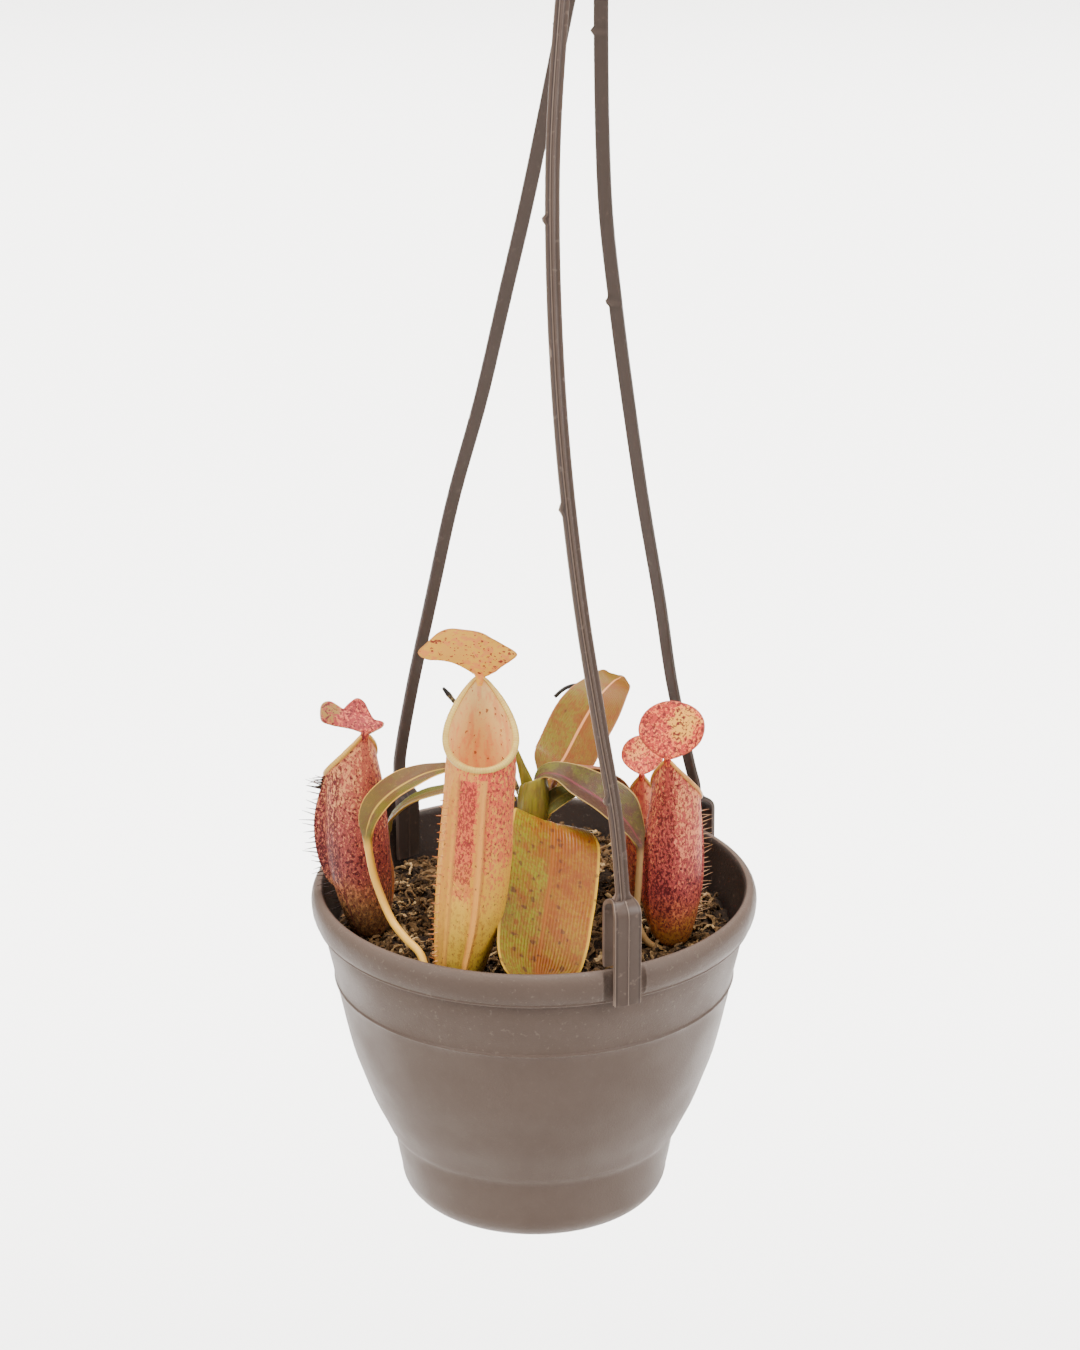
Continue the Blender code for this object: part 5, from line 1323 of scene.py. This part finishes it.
def cup_finish(name, looks):
    """Colour a cup's outer face by its UV: U is the angle from its front, V the height.

    A light ground breaks into ragged middle and dark blotches, each tone changing with height.
    """
    material, tree, shader, place = plant_skin(name, 0.58, 0.0, 0.05)
    around, up = skin_uv(tree)
    shift = reckon(tree, "MULTIPLY_ADD", grit(tree, place, 190.0, 4.0), 0.24, -0.12)
    level = reckon(tree, "ADD", up, shift)
    angle = reckon(tree, "MULTIPLY", around, 360.0)
    light, middle, dark = [ramp(tree, level, looks[tone]) for tone in ("light", "middle", "dark")]
    blotched, darkened = [
        ramp(tree, level, [(row[0], (row[k],) * 3) for row in looks["shares"]]) for k in (1, 2)]

    def zone(centre, reach, soft, low, high):
        turned = reckon(tree, "WRAP", reckon(tree, "SUBTRACT", angle, centre), 180.0, -180.0)
        away = reckon(tree, "ABSOLUTE", turned)
        away = reckon(tree, "ADD", away, reckon(tree, "MULTIPLY", shift, 18.0))
        within = reckon(tree, "MULTIPLY", fade(tree, level, low, low + 0.10),
                        fade(tree, up, high + 0.01, high - 0.02))
        return reckon(tree, "MULTIPLY", within, fade(tree, away, reach + soft, reach))

    for *where, more, darker in looks["zones"]:
        here = zone(*where)
        blotched = reckon(tree, "MULTIPLY_ADD", here, more, blotched)
        darkened = reckon(tree, "MULTIPLY_ADD", here, darker, darkened)
    colour = tint(tree, mottle(tree, place, looks["blotch"], blotched), light, middle)
    colour = tint(tree, mottle(tree, moved(tree, place, 0.4), 0.75 * looks["blotch"], darkened),
                  colour, dark)
    grains = mottle(tree, moved(tree, place, 0.9), 0.55, 0.26)
    colour = glaze(tree, grains, 0.5, colour, light)
    for *where, over, share in looks["bands"]:
        colour = glaze(tree, zone(*where), share, colour, over)
    dots = flecks(tree, place, 2.0, looks["dots"], 0.05)
    colour = glaze(tree, dots, 0.85, colour, looks["dot"])
    ridges = clouds(tree, place, 1.7, 0.3, 0.7, stretch=(1.0, 1.0, 0.16))
    skin = reckon(tree, "MULTIPLY_ADD", grit(tree, place, 1300.0, 3.0), 0.8, ridges)
    dress(tree, shader, colour, skin, 0.6, 0.28)
    return material


# THIN_GLOW is painted light: an emission that stands for light through the thin wall.
THIN_GLOW = 0.14             # strength of the light that comes through a cup's wall


def throat_finish(name, wall, deep, streak, fleck):
    """The waxy inside of a cup, paler than the outside, with streaks and a few dark flecks.

    A painted glow, an emission, stands for the daylight that comes through the thin wall.
    """
    material, tree, shader, place = plant_skin(name, 0.36, 0.2, 0.10)
    colour = tint(tree, fade(tree, skin_uv(tree)[1], 0.80, 0.50), wall, deep)
    streaks = clouds(tree, place, 2.2, 0.46, 0.66, stretch=(1.0, 1.0, 0.25))
    colour = glaze(tree, streaks, 0.45, colour, streak)
    colour = glaze(tree, mottle(tree, place, 0.9, 0.16, 0.05), 0.5, colour, streak)
    colour = glaze(tree, flecks(tree, place, 2.3, 0.24, 0.06), 0.8, colour, fleck)
    dress(tree, shader, colour, streaks, 0.3, 0.2)
    tree.links.new(colour, shader.inputs["Emission Color"])
    shader.inputs["Emission Strength"].default_value = THIN_GLOW
    return material


def lip_finish(name, light, dark, ribs):
    """The glossy rolled edge, striped by its own ribs, with a darker line where it tucks in."""
    material, tree, shader, place = plant_skin(name, 0.28, 0.35, 0.06)
    around, over = skin_uv(tree)
    rib = reckon(tree, "COSINE", reckon(tree, "MULTIPLY", around, 2 * math.pi * ribs))
    colour = glaze(tree, clouds(tree, place, 4.0, 0.42, 0.65), 0.35, light, dark)
    colour = tint(tree, fade(tree, rib, 0.2, -0.9, 0.0, 0.28), colour, dark)
    tuck = reckon(tree, "ABSOLUTE", reckon(tree, "SUBTRACT", over, 0.56))
    dress(tree, shader, tint(tree, fade(tree, tuck, 0.10, 0.05, 0.0, 0.85), colour, dark))
    return material


def lid_finish(name, looks, glow):
    """Colour a lid: light, middle and dark blotches, a paler patch about glow, and its rim."""
    material, tree, shader, place = plant_skin(name, 0.58, 0.0, 0.05)
    near = add_node(tree, "ShaderNodeVectorMath", {0: place, 1: tuple(glow * MM)},
                    operation="DISTANCE").outputs["Value"]
    uneven = grit(tree, place, 260.0, 3.0)
    near = reckon(tree, "ADD", near, reckon(tree, "MULTIPLY_ADD", uneven, 10.0 * MM, -5.0 * MM))
    patch = fade(tree, near, looks["glow"] * MM, 0.4 * looks["glow"] * MM)
    light = tint(tree, patch, looks["light"], looks["patch"])
    blotched = reckon(tree, "MULTIPLY_ADD", patch, -looks["clearing"], looks["shares"][0])
    colour = tint(tree, mottle(tree, place, looks["blotch"], blotched), light, looks["middle"])
    colour = tint(tree, mottle(tree, moved(tree, place, 0.4), 0.8 * looks["blotch"],
                               looks["shares"][1]), colour, looks["dark"])
    specks = flecks(tree, place, 1.5, looks["specks"], 0.06)
    colour = glaze(tree, specks, 0.9, colour, looks["dark"])
    colour = tint(tree, fade(tree, skin_uv(tree)[1], 0.935, 0.985, 0.0, 0.8), colour, looks["rim"])
    dress(tree, shader, colour, grit(tree, place, 900.0, 3.0), 0.5, 0.3)
    # The emission is a painted glow for light that shines through the lid.
    tree.links.new(colour, shader.inputs["Emission Color"])
    shader.inputs["Emission Strength"].default_value = looks.get("shine_through", 0.0)
    return material


# light, middle and dark are ramps of (share of the height, colour), and shares are (share of the
# height, how much is middle, how much dark). A zone is (angle, reach, softness, low, high, more
# blotches, more dark), and a band ends in (colour, share) instead. A lid's patch is at the point
# that (share from its middle to its rim, number of the rim's point) gives.
PITCHER_LOOKS = {
    "pitcher_front": dict(
        slot="pitcher_cream", blotch=1.0,
        # The darker stops at the foot of this cup, beside the moss, are partly painted shade.
        light=[(0.0, (0.30, 0.20, 0.025)), (0.16, (0.66, 0.40, 0.035)),
               (0.32, (0.95, 0.52, 0.050)), (0.5, (0.97, 0.42, 0.065)), (0.8, (0.97, 0.40, 0.08))],
        middle=[(0.0, (0.24, 0.16, 0.018)), (0.3, (0.74, 0.36, 0.04)), (0.44, (0.92, 0.21, 0.07)),
                (0.75, (0.86, 0.110, 0.060))],
        dark=[(0.0, (0.12, 0.06, 0.012)), (0.36, (0.50, 0.12, 0.040)), (0.5, (0.42, 0.045, 0.035)),
              (0.8, (0.42, 0.050, 0.035))],
        shares=[(0.0, 0.40, 0.18), (0.35, 0.34, 0.06), (0.45, 0.30, 0.08), (0.8, 0.42, 0.10)],
        zones=[(-22.0, 13.0, 5.0, 0.34, 0.74, 0.62, 0.42),
               (38.0, 34.0, 12.0, 0.38, 0.95, 0.26, 0.24)],
        bands=[(-66.0, 26.0, 4.0, -0.2, 0.9, (0.86, 0.40, 0.075), 0.55),
               (-37.5, 1.2, 3.0, -0.1, 0.75, (0.55, 0.22, 0.05), 0.55),
               (4.0, 4.0, 3.0, -0.2, 0.76, (0.95, 0.42, 0.085), 0.9),
               (11.0, 1.0, 2.5, -0.1, 0.70, (0.50, 0.15, 0.05), 0.5)],
        dot=(0.16, 0.045, 0.02), dots=0.16,
        lip=((0.95, 0.66, 0.15), (0.72, 0.34, 0.06)),
        throat=((1.0, 0.66, 0.24), (1.0, 0.58, 0.20), (0.85, 0.22, 0.11), (0.26, 0.05, 0.03)),
        lid=dict(light=(0.98, 0.48, 0.060), middle=(0.96, 0.34, 0.075), dark=(0.30, 0.040, 0.024),
                 patch=(0.95, 0.45, 0.07), shares=(0.42, 0.14), specks=0.34, blotch=2.2,
                 glow=7.0, clearing=0.4, at=(0.35, 12), rim=(0.62, 0.26, 0.06),
                 shine_through=0.25)),
    "pitcher_left": dict(
        slot="pitcher_red", blotch=0.95,
        light=[(0.0, (0.28, 0.155, 0.060)), (0.16, (0.50, 0.24, 0.09)), (0.32, (0.85, 0.25, 0.13)),
               (0.55, (0.95, 0.30, 0.15)), (0.75, (0.95, 0.38, 0.15))],
        middle=[(0.0, (0.17, 0.085, 0.035)), (0.22, (0.30, 0.11, 0.05)),
                (0.36, (0.38, 0.075, 0.062)), (0.60, (0.46, 0.09, 0.07)),
                (0.85, (0.62, 0.14, 0.08))],
        dark=[(0.0, (0.07, 0.03, 0.012)), (0.35, (0.10, 0.012, 0.014)),
              (0.9, (0.18, 0.022, 0.02))],
        shares=[(0.0, 0.55, 0.20), (0.28, 0.62, 0.22), (0.38, 0.82, 0.42), (0.58, 0.70, 0.34),
                (0.80, 0.52, 0.26)],
        zones=[(80.0, 26.0, 6.0, -0.2, 0.85, -0.12, 0.22),
               (176.0, 12.0, 10.0, 0.55, 1.1, 0.35, 0.0)],
        bands=[(106.0, 0.8, 2.5, -0.1, 0.80, (0.24, 0.05, 0.04), 0.6)],
        dot=(0.12, 0.016, 0.02), dots=0.26,
        lip=((0.92, 0.54, 0.09), (0.50, 0.17, 0.04)),
        throat=((0.78, 0.40, 0.14), (0.55, 0.2, 0.09), (0.55, 0.12, 0.08), (0.2, 0.03, 0.03)),
        lid=dict(light=(0.72, 0.15, 0.075), middle=(0.40, 0.045, 0.038), dark=(0.15, 0.014, 0.014),
                 patch=(0.34, 0.17, 0.03), shares=(0.60, 0.34), specks=0.34, blotch=1.1,
                 glow=7.0, clearing=0.25, at=(0.8, 1), rim=(0.34, 0.16, 0.06))),
    "pitcher_right": dict(
        slot="pitcher_red", blotch=0.95,
        light=[(0.0, (0.42, 0.170, 0.030)), (0.14, (0.55, 0.20, 0.045)),
               (0.30, (0.80, 0.16, 0.095)), (0.55, (0.95, 0.27, 0.14)),
               (0.85, (0.95, 0.36, 0.13))],
        middle=[(0.0, (0.30, 0.095, 0.020)), (0.16, (0.36, 0.085, 0.030)),
                (0.34, (0.42, 0.065, 0.058)), (0.60, (0.52, 0.08, 0.065)),
                (0.9, (0.60, 0.10, 0.065))],
        dark=[(0.0, (0.11, 0.024, 0.008)), (0.3, (0.11, 0.010, 0.013)),
              (0.9, (0.19, 0.018, 0.016))],
        shares=[(0.0, 0.35, 0.14), (0.18, 0.55, 0.26), (0.36, 0.76, 0.42), (0.60, 0.62, 0.32),
                (0.9, 0.60, 0.30)],
        zones=[(184.0, 12.0, 14.0, 0.1, 1.2, 0.22, 0.16),
               (-100.0, 40.0, 20.0, 0.3, 1.2, -0.12, -0.06)],
        bands=[(182.0, 5.0, 8.0, 0.72, 1.2, (0.58, 0.085, 0.06), 0.7)],
        dot=(0.10, 0.014, 0.016), dots=0.24,
        lip=((0.88, 0.40, 0.08), (0.48, 0.13, 0.035)),
        throat=((0.74, 0.36, 0.13), (0.5, 0.17, 0.08), (0.5, 0.11, 0.07), (0.2, 0.03, 0.03)),
        lid=dict(light=(0.95, 0.20, 0.055), middle=(0.56, 0.050, 0.030), dark=(0.17, 0.015, 0.010),
                 patch=(0.95, 0.42, 0.05), shares=(0.58, 0.34), specks=0.40, blotch=1.0,
                 glow=7.0, clearing=0.42, at=(0.38, 46), rim=(0.45, 0.075, 0.045))),
    "pitcher_rear": dict(
        slot="pitcher_red", blotch=0.95,
        light=[(0.0, (0.40, 0.17, 0.07)), (0.5, (0.92, 0.26, 0.12)), (0.9, (0.95, 0.32, 0.13))],
        middle=[(0.0, (0.28, 0.09, 0.04)), (0.5, (0.62, 0.12, 0.08)), (0.9, (0.68, 0.14, 0.08))],
        dark=[(0.0, (0.12, 0.03, 0.015)), (0.9, (0.28, 0.04, 0.03))],
        shares=[(0.0, 0.6, 0.2), (0.5, 0.55, 0.2), (0.9, 0.45, 0.15)],
        zones=[], bands=[(178.0, 14.0, 10.0, 0.6, 1.2, (0.58, 0.085, 0.06), 0.7)],
        dot=(0.16, 0.02, 0.02), dots=0.2,
        lip=((0.90, 0.50, 0.12), (0.55, 0.18, 0.05)),
        throat=((0.74, 0.36, 0.13), (0.5, 0.17, 0.08), (0.5, 0.11, 0.07), (0.2, 0.03, 0.03)),
        lid=dict(light=(0.95, 0.22, 0.07), middle=(0.62, 0.065, 0.038), dark=(0.20, 0.022, 0.016),
                 patch=(0.95, 0.34, 0.08), shares=(0.56, 0.30), specks=0.36, blotch=1.0,
                 glow=5.0, clearing=0.2, at=(0.3, 30), rim=(0.50, 0.08, 0.055))),
}

# A fringe is (side, low, high, pitch, length, thickness at the root, colour). Side is -1 or 1 on a
# wing's crest and -2.1 beside it, and bristles stand between the heights low and high.
FRINGES = {
    "pitcher_front": [(-1, 94.0, 163.0, 1.9, 2.3, 0.32, (0.80, 0.34, 0.09)),
                      (-2.1, 94.0, 163.0, 1.7, 2.0, 0.30, (0.62, 0.22, 0.07)),
                      (1, 94.0, 130.0, 2.6, 0.9, 0.18, (0.80, 0.34, 0.09))],
    "pitcher_left": [(1, 104.0, 150.0, 1.4, 5.0, 0.26, (0.045, 0.022, 0.016)),
                     (-1, 104.0, 145.0, 2.2, 2.2, 0.12, (0.10, 0.045, 0.03))],
    "pitcher_right": [(-1, 100.0, 139.0, 1.4, 4.0, 0.17, (0.62, 0.34, 0.18)),
                      (1, 100.0, 139.0, 2.4, 2.0, 0.12, (0.62, 0.34, 0.18))],
}


def close_tree(tree, inlet, outlet, instances):
    """Make instances real, dress them in the tree's material and hand them on."""
    real = add_node(tree, "GeometryNodeRealizeInstances", {"Geometry": instances})
    dressed = add_node(tree, "GeometryNodeSetMaterial", {
        "Geometry": real.outputs["Geometry"], "Material": inlet.outputs["Material"]})
    tree.links.new(dressed.outputs["Geometry"], outlet.inputs["Geometry"])


def fringe_tree():
    """Stand a fine tapered bristle on each root, along its way and as long as it says."""
    tree, inlet, outlet = new_group(
        "fringe", "GeometryNodeTree",
        {"Geometry": "Geometry", "Material": "Material", "Thickness": "Float"},
        {"Geometry": "Geometry"})
    bristle = add_node(tree, "GeometryNodeMeshCone", {
        "Vertices": 6, "Side Segments": 3, "Radius Bottom": inlet.outputs["Thickness"],
        "Radius Top": reckon(tree, "MULTIPLY", inlet.outputs["Thickness"], 0.25),
        "Depth": 1.0})
    way = add_node(tree, "GeometryNodeInputNamedAttribute", {"Name": "way"},
                   data_type="FLOAT_VECTOR").outputs["Attribute"]
    length = add_node(tree, "ShaderNodeVectorMath", {0: way},
                      operation="LENGTH").outputs["Value"]
    turn = add_node(tree, "FunctionNodeAlignRotationToVector", {"Vector": way}, axis="Z")
    size = add_node(tree, "ShaderNodeCombineXYZ", {"X": 1.0, "Y": 1.0, "Z": length})
    stood = add_node(tree, "GeometryNodeInstanceOnPoints", {
        "Points": inlet.outputs["Geometry"], "Instance": bristle.outputs["Mesh"],
        "Rotation": turn.outputs["Rotation"], "Scale": size.outputs["Vector"]})
    close_tree(tree, inlet, outlet, stood.outputs["Instances"])
    return tree


def grow(piece, tree, **values):
    """Run a Geometry Nodes tree on a piece, its inputs set by identifier, and settle it."""
    change = piece.modifiers.new(tree.name.title(), "NODES")
    change.node_group = tree
    for item in tree.interface.items_tree:
        if item.in_out == "INPUT" and item.name.replace(" ", "_") in values:
            change[item.identifier] = values[item.name.replace(" ", "_")]
    settle(piece)


FRINGE = fringe_tree()


def fringe_roots(spec, grid, side, low, high, pitch, length, draw):
    """Return bristles' roots on a wing's crest, and the way and length of each."""
    outer, normals, columns = grid
    centre = (spec["wings"] + side * WING_SPREAD) % 360
    column = min(range(len(columns)), key=lambda k: apart(columns[k], centre))
    wings = wing_centres(spec["wings"])
    crest = [(row[column], normal[column]) for row, normal in zip(outer, normals)]
    roots, ways, walked = [], [], 0.0
    for (a, out_a), (b, _) in zip(crest, crest[1:]):
        walked += (b - a).length
        if walked < pitch or not low < a.z < high:
            continue
        walked -= pitch * draw.uniform(0.8, 1.2)
        height = wing_height(spec, a.z, columns[column], wings)
        roots.append((a + (height - 0.15) * out_a) * MM)
        sway = Vector([draw.uniform(-0.32, 0.32) for _ in range(3)])
        ways.append((out_a + sway + 0.15 * UP) * length * draw.uniform(0.5, 1.0) * MM)
    return roots, ways


def fringe_finish(name, colour):
    material, tree, shader, place = plant_skin(name, 0.5)
    darker = tuple(0.55 * part for part in colour)
    dress(tree, shader, glaze(tree, mottle(tree, place, 2.0, 0.5, 0.1), 0.5, colour, darker))
    return material


def add_fringe(name, spec, grid):
    """Stand a pitcher's rows of bristles on its wings, each row as a piece of its own."""
    draw = random.Random(name)
    for number, (*row, thick, colour) in enumerate(FRINGES[name]):
        roots, ways = fringe_roots(spec, grid, *row, draw)
        mesh = bpy.data.meshes.new(name + "_fringe_" + str(number + 1))
        mesh.from_pydata(roots, [], [])
        layer = mesh.attributes.new("way", "FLOAT_VECTOR", "POINT")
        layer.data.foreach_set("vector", [part for way in ways for part in way])
        fringe = put_in_scene(mesh.name, mesh)
        grow(fringe, FRINGE, Material=fringe_finish(mesh.name + "_skin", colour),
             Thickness=thick * MM)
        stand_for(fringe, PITCHER_LOOKS[name]["slot"])


for name, spec in PITCHERS.items():
    looks = PITCHER_LOOKS[name]
    ribs = round(11.0 * sum(spec["mouth"]) / 3.0)
    shape, slots, grid = cup_loft(spec)
    if name in FRINGES:
        add_fringe(name, spec, grid)
    cup = mould(name + "_cup", shape, [cup_finish(name + "_skin", looks),
                                       throat_finish(name + "_throat", *looks["throat"])],
                CUP_SHARP, slots)
    stand_for(cup, looks["slot"], name)
    lip = mould(name + "_lip", lip_loft(spec, ribs),
                [lip_finish(name + "_lip_skin", *looks["lip"], ribs)], LID_SHARP)
    stand_for(lip, looks["slot"])
    glow = lid_point(spec["lid"], lid_hinge(spec), *looks["lid"]["at"], 0.0)
    lid_skin = lid_finish(name + "_lid_skin", looks["lid"], glow)
    lid = mould(name + "_lid", lid_loft(spec), [lid_skin], LID_SHARP)
    stand_for(lid, looks["slot"])
    neck = mould(name + "_neck", neck_loft(spec), [lid_skin], LID_SHARP)
    carve(neck, mould("spur", spur_loft(spec), [lid_skin], LID_SHARP), "UNION", LID_SHARP)
    stand_for(neck, looks["slot"])


# ---------------------------------------------------------------- moss bed
# Dried moss and coir fill the pot to just under the lip, heaped a little at the back. The bed is a
# near-black body, its colour painted shade for the gaps, and curled, knotted strands that lie any
# way cover it all over.

MOSS_LEVEL, MOSS_RELIEF = 95.5, 1.5
MOSS_RIM, MOSS_SINK = 58.0, 2.5          # beyond this radius the bed sinks towards the wall
MOSS_MOUND, MOSS_RISE, MOSS_SPREAD = (12.0, 48.0), 8.0, 20.0
MOSS_RADIUS = 64.7
BED_RINGS, BED_SIDES = 44, 120
COVER_RADIUS, COVER_RINGS, COVER_SIDES = 62.0, 30, 90
STRAND_LENGTH, STRAND_SHAPES = 7.0, 9


def moss_height(x, y):
    """Return the height of the bed, dished under each pitcher that rests in it."""
    ripple = math.sin(0.46 * x + 1.3) * math.sin(0.52 * y - 0.7)
    ripple += 0.6 * math.sin(0.9 * x - 0.8 * y)
    rough = noise.noise(Vector((x, y, 0.0)) * 0.33) + 0.6 * noise.noise(Vector((x, y, 9.0)) * 0.8)
    height = MOSS_LEVEL + MOSS_RELIEF * (0.5 * ripple + rough)
    mound_x, mound_y = MOSS_MOUND
    height += MOSS_RISE * math.exp(-((x - mound_x) ** 2 + (y - mound_y) ** 2) / MOSS_SPREAD ** 2)
    height -= MOSS_SINK * max(0.0, math.hypot(x, y) - MOSS_RIM) / 8.0
    for spec in PITCHERS.values():
        centre_x, centre_y, bottom, _ = spec["body"][0]
        away = (x - centre_x) ** 2 + (y - centre_y) ** 2
        height = min(height, bottom - 1.6 + away / 40.0)
    return height


bed_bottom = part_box("moss_bed")[0].z / MM
bed_rings = []
for radius, height in [(33.3, bed_bottom), (39.1, 4.9), (41.4, 10.5), (43.3, 20.0),
                       (47.6, 30.0), (50.9, 37.0), (56.9, 54.0), (62.6, 80.0), (64.2, 88.0)]:
    bed_rings.append([heading(360.0 * k / BED_SIDES) * radius + height * UP
                      for k in range(BED_SIDES)])
for i in range(BED_RINGS):
    radius = MOSS_RADIUS * (1 - i / BED_RINGS)
    ring = []
    for k in range(BED_SIDES):
        spot = heading(360.0 * (k + 0.5 * (i % 2)) / BED_SIDES) * radius
        ring.append(Vector((spot.x, spot.y, moss_height(spot.x, spot.y))))
    bed_rings.append(ring)


def moss_finish(name, dark, light, pale=None):
    """Dry brown moss. With pale, each strand takes the shade that the scattering gave it."""
    material, tree, shader = paint(name, dark, 0.9, Specular_IOR_Level=0.25)
    patch = clouds(tree, object_place(tree), 0.9, 0.35, 0.7)
    colour = glaze(tree, patch, 0.6, dark, light)
    if pale:
        tone = add_node(tree, "ShaderNodeAttribute", attribute_name="tone").outputs["Fac"]
        colour = tint(tree, fade(tree, tone, 0.30, 0.90, 0.0, 0.85), colour, light)
        colour = tint(tree, fade(tree, tone, 0.84, 0.98, 0.0, 0.85), colour, pale)
        colour = tint(tree, fade(tree, tone, 0.26, 0.0, 0.0, 0.9), colour, (0.012, 0.006, 0.003))
    dress(tree, shader, colour, patch, 0.7, 0.3)
    return material


# The bed's near-black colour is painted shade, seen in the gaps between the strands.
bed_painted_shade = moss_finish("moss_body", (0.014, 0.007, 0.003), (0.050, 0.024, 0.010))
strand_brown = moss_finish("moss_strand", (0.034, 0.017, 0.007), (0.26, 0.145, 0.060),
                           (0.64, 0.42, 0.19))
bed = mould("moss_body", loft(bed_rings), [bed_painted_shade], 180.0)
stand_for(bed, "moss", "moss_bed")


def strand_shape(number):
    """Return a curled, knotted scrap of moss, lying along X."""
    draw = random.Random(40 + number)
    bends = [draw.uniform(-1.0, 1.0) for _ in range(6)]
    rows = []
    for k in range(9):
        t = k / 8
        curl = 1.3 * math.sin(math.pi * 1.7 * t + 3 * bends[0]) * bends[1]
        hump = 1.5 * math.sin(math.pi * t) * (0.6 + 0.5 * bends[2])
        hump += 0.5 * math.sin(7 * t + 4 * bends[3])
        knot = 0.34 + 0.62 * abs(math.sin(math.pi * 2.6 * t + 2 * bends[4])) * (1 - 0.4 * t)
        rows.append((STRAND_LENGTH * (t - 0.5), 1.4 * curl, hump, knot))
    return mould("strand_shape", loft(round_rings(rows, 5, 0.25, number)), [strand_brown], 50.0)


def scatter_tree():
    """Scatter shapes from a collection over a surface, each with its own turn, size and shade."""
    tree, inlet, outlet = new_group(
        "scatter_moss", "GeometryNodeTree",
        {"Geometry": "Geometry", "Shapes": "Collection", "Material": "Material", "Seed": "Int"}
        | floats("Density", "Least Size", "Most Size", "Tilt"), {"Geometry": "Geometry"})
    spread = add_node(tree, "GeometryNodeDistributePointsOnFaces", {
        "Mesh": inlet.outputs["Geometry"], "Density": inlet.outputs["Density"],
        "Seed": inlet.outputs["Seed"]}, distribute_method="RANDOM")
    tilt = inlet.outputs["Tilt"]
    back = reckon(tree, "MULTIPLY", tilt, -1.0)
    low = add_node(tree, "ShaderNodeCombineXYZ", {"X": back, "Y": back})
    high = add_node(tree, "ShaderNodeCombineXYZ", {"X": tilt, "Y": tilt, "Z": 2 * math.pi})
    turn = add_node(tree, "FunctionNodeRandomValue", {
        0: low.outputs["Vector"], 1: high.outputs["Vector"], "Seed": inlet.outputs["Seed"]},
        data_type="FLOAT_VECTOR")
    size = add_node(tree, "FunctionNodeRandomValue", {
        2: inlet.outputs["Least Size"], 3: inlet.outputs["Most Size"],
        "Seed": inlet.outputs["Seed"]}, data_type="FLOAT")
    shapes = add_node(tree, "GeometryNodeCollectionInfo", {
        "Collection": inlet.outputs["Shapes"], "Separate Children": True, "Reset Children": True})
    placed = add_node(tree, "GeometryNodeInstanceOnPoints", {
        "Points": spread.outputs["Points"], "Instance": shapes.outputs["Instances"],
        "Pick Instance": True, "Rotation": turn.outputs[0], "Scale": size.outputs[1]})
    tone = add_node(tree, "FunctionNodeRandomValue", {2: 0.0, 3: 1.0, "Seed": 77},
                    data_type="FLOAT")
    toned = add_node(tree, "GeometryNodeStoreNamedAttribute", {
        "Geometry": placed.outputs["Instances"], "Name": "tone", "Value": tone.outputs[1]},
        data_type="FLOAT", domain="INSTANCE")
    close_tree(tree, inlet, outlet, toned.outputs["Geometry"])
    return tree


def gather(name, pieces):
    """Put pieces into a collection that isn't shown, for the scattering to draw from."""
    store = bpy.data.collections.new(name)
    for piece in pieces:
        bpy.context.scene.collection.objects.unlink(piece)
        store.objects.link(piece)
    return store


SCATTER = scatter_tree()


def bed_top(name, rise):
    """Return the open upper face of the bed, for strands to be scattered on."""
    points, faces = [], []
    for i in range(COVER_RINGS):
        for k in range(COVER_SIDES):
            spot = heading(360.0 * k / COVER_SIDES) * COVER_RADIUS * (1 - i / COVER_RINGS)
            points.append(Vector((spot.x, spot.y, moss_height(spot.x, spot.y) + rise)) * MM)
            if i + 1 < COVER_RINGS:
                a, b = i * COVER_SIDES + k, i * COVER_SIDES + (k + 1) % COVER_SIDES
                faces.append((a, b, b + COVER_SIDES, a + COVER_SIDES))
    mesh = bpy.data.meshes.new(name)
    mesh.from_pydata(points, [], faces)
    return put_in_scene(name, mesh)


strands = gather("strand_shapes", [strand_shape(k) for k in range(STRAND_SHAPES)])
for layer, (rise, density, least, most, tilt, seed) in enumerate([
        (-0.3, 120000.0, 0.60, 1.15, 0.5, 3), (1.0, 70000.0, 0.45, 0.95, 0.9, 8)]):
    cover = bed_top("moss_strands_" + str(layer + 1), rise)
    grow(cover, SCATTER, Shapes=strands, Material=strand_brown, Density=density,
         Least_Size=least, Most_Size=most, Tilt=tilt, Seed=seed)
    stand_for(cover, "moss")
for strand in list(strands.objects):
    bpy.data.objects.remove(strand, do_unlink=True)
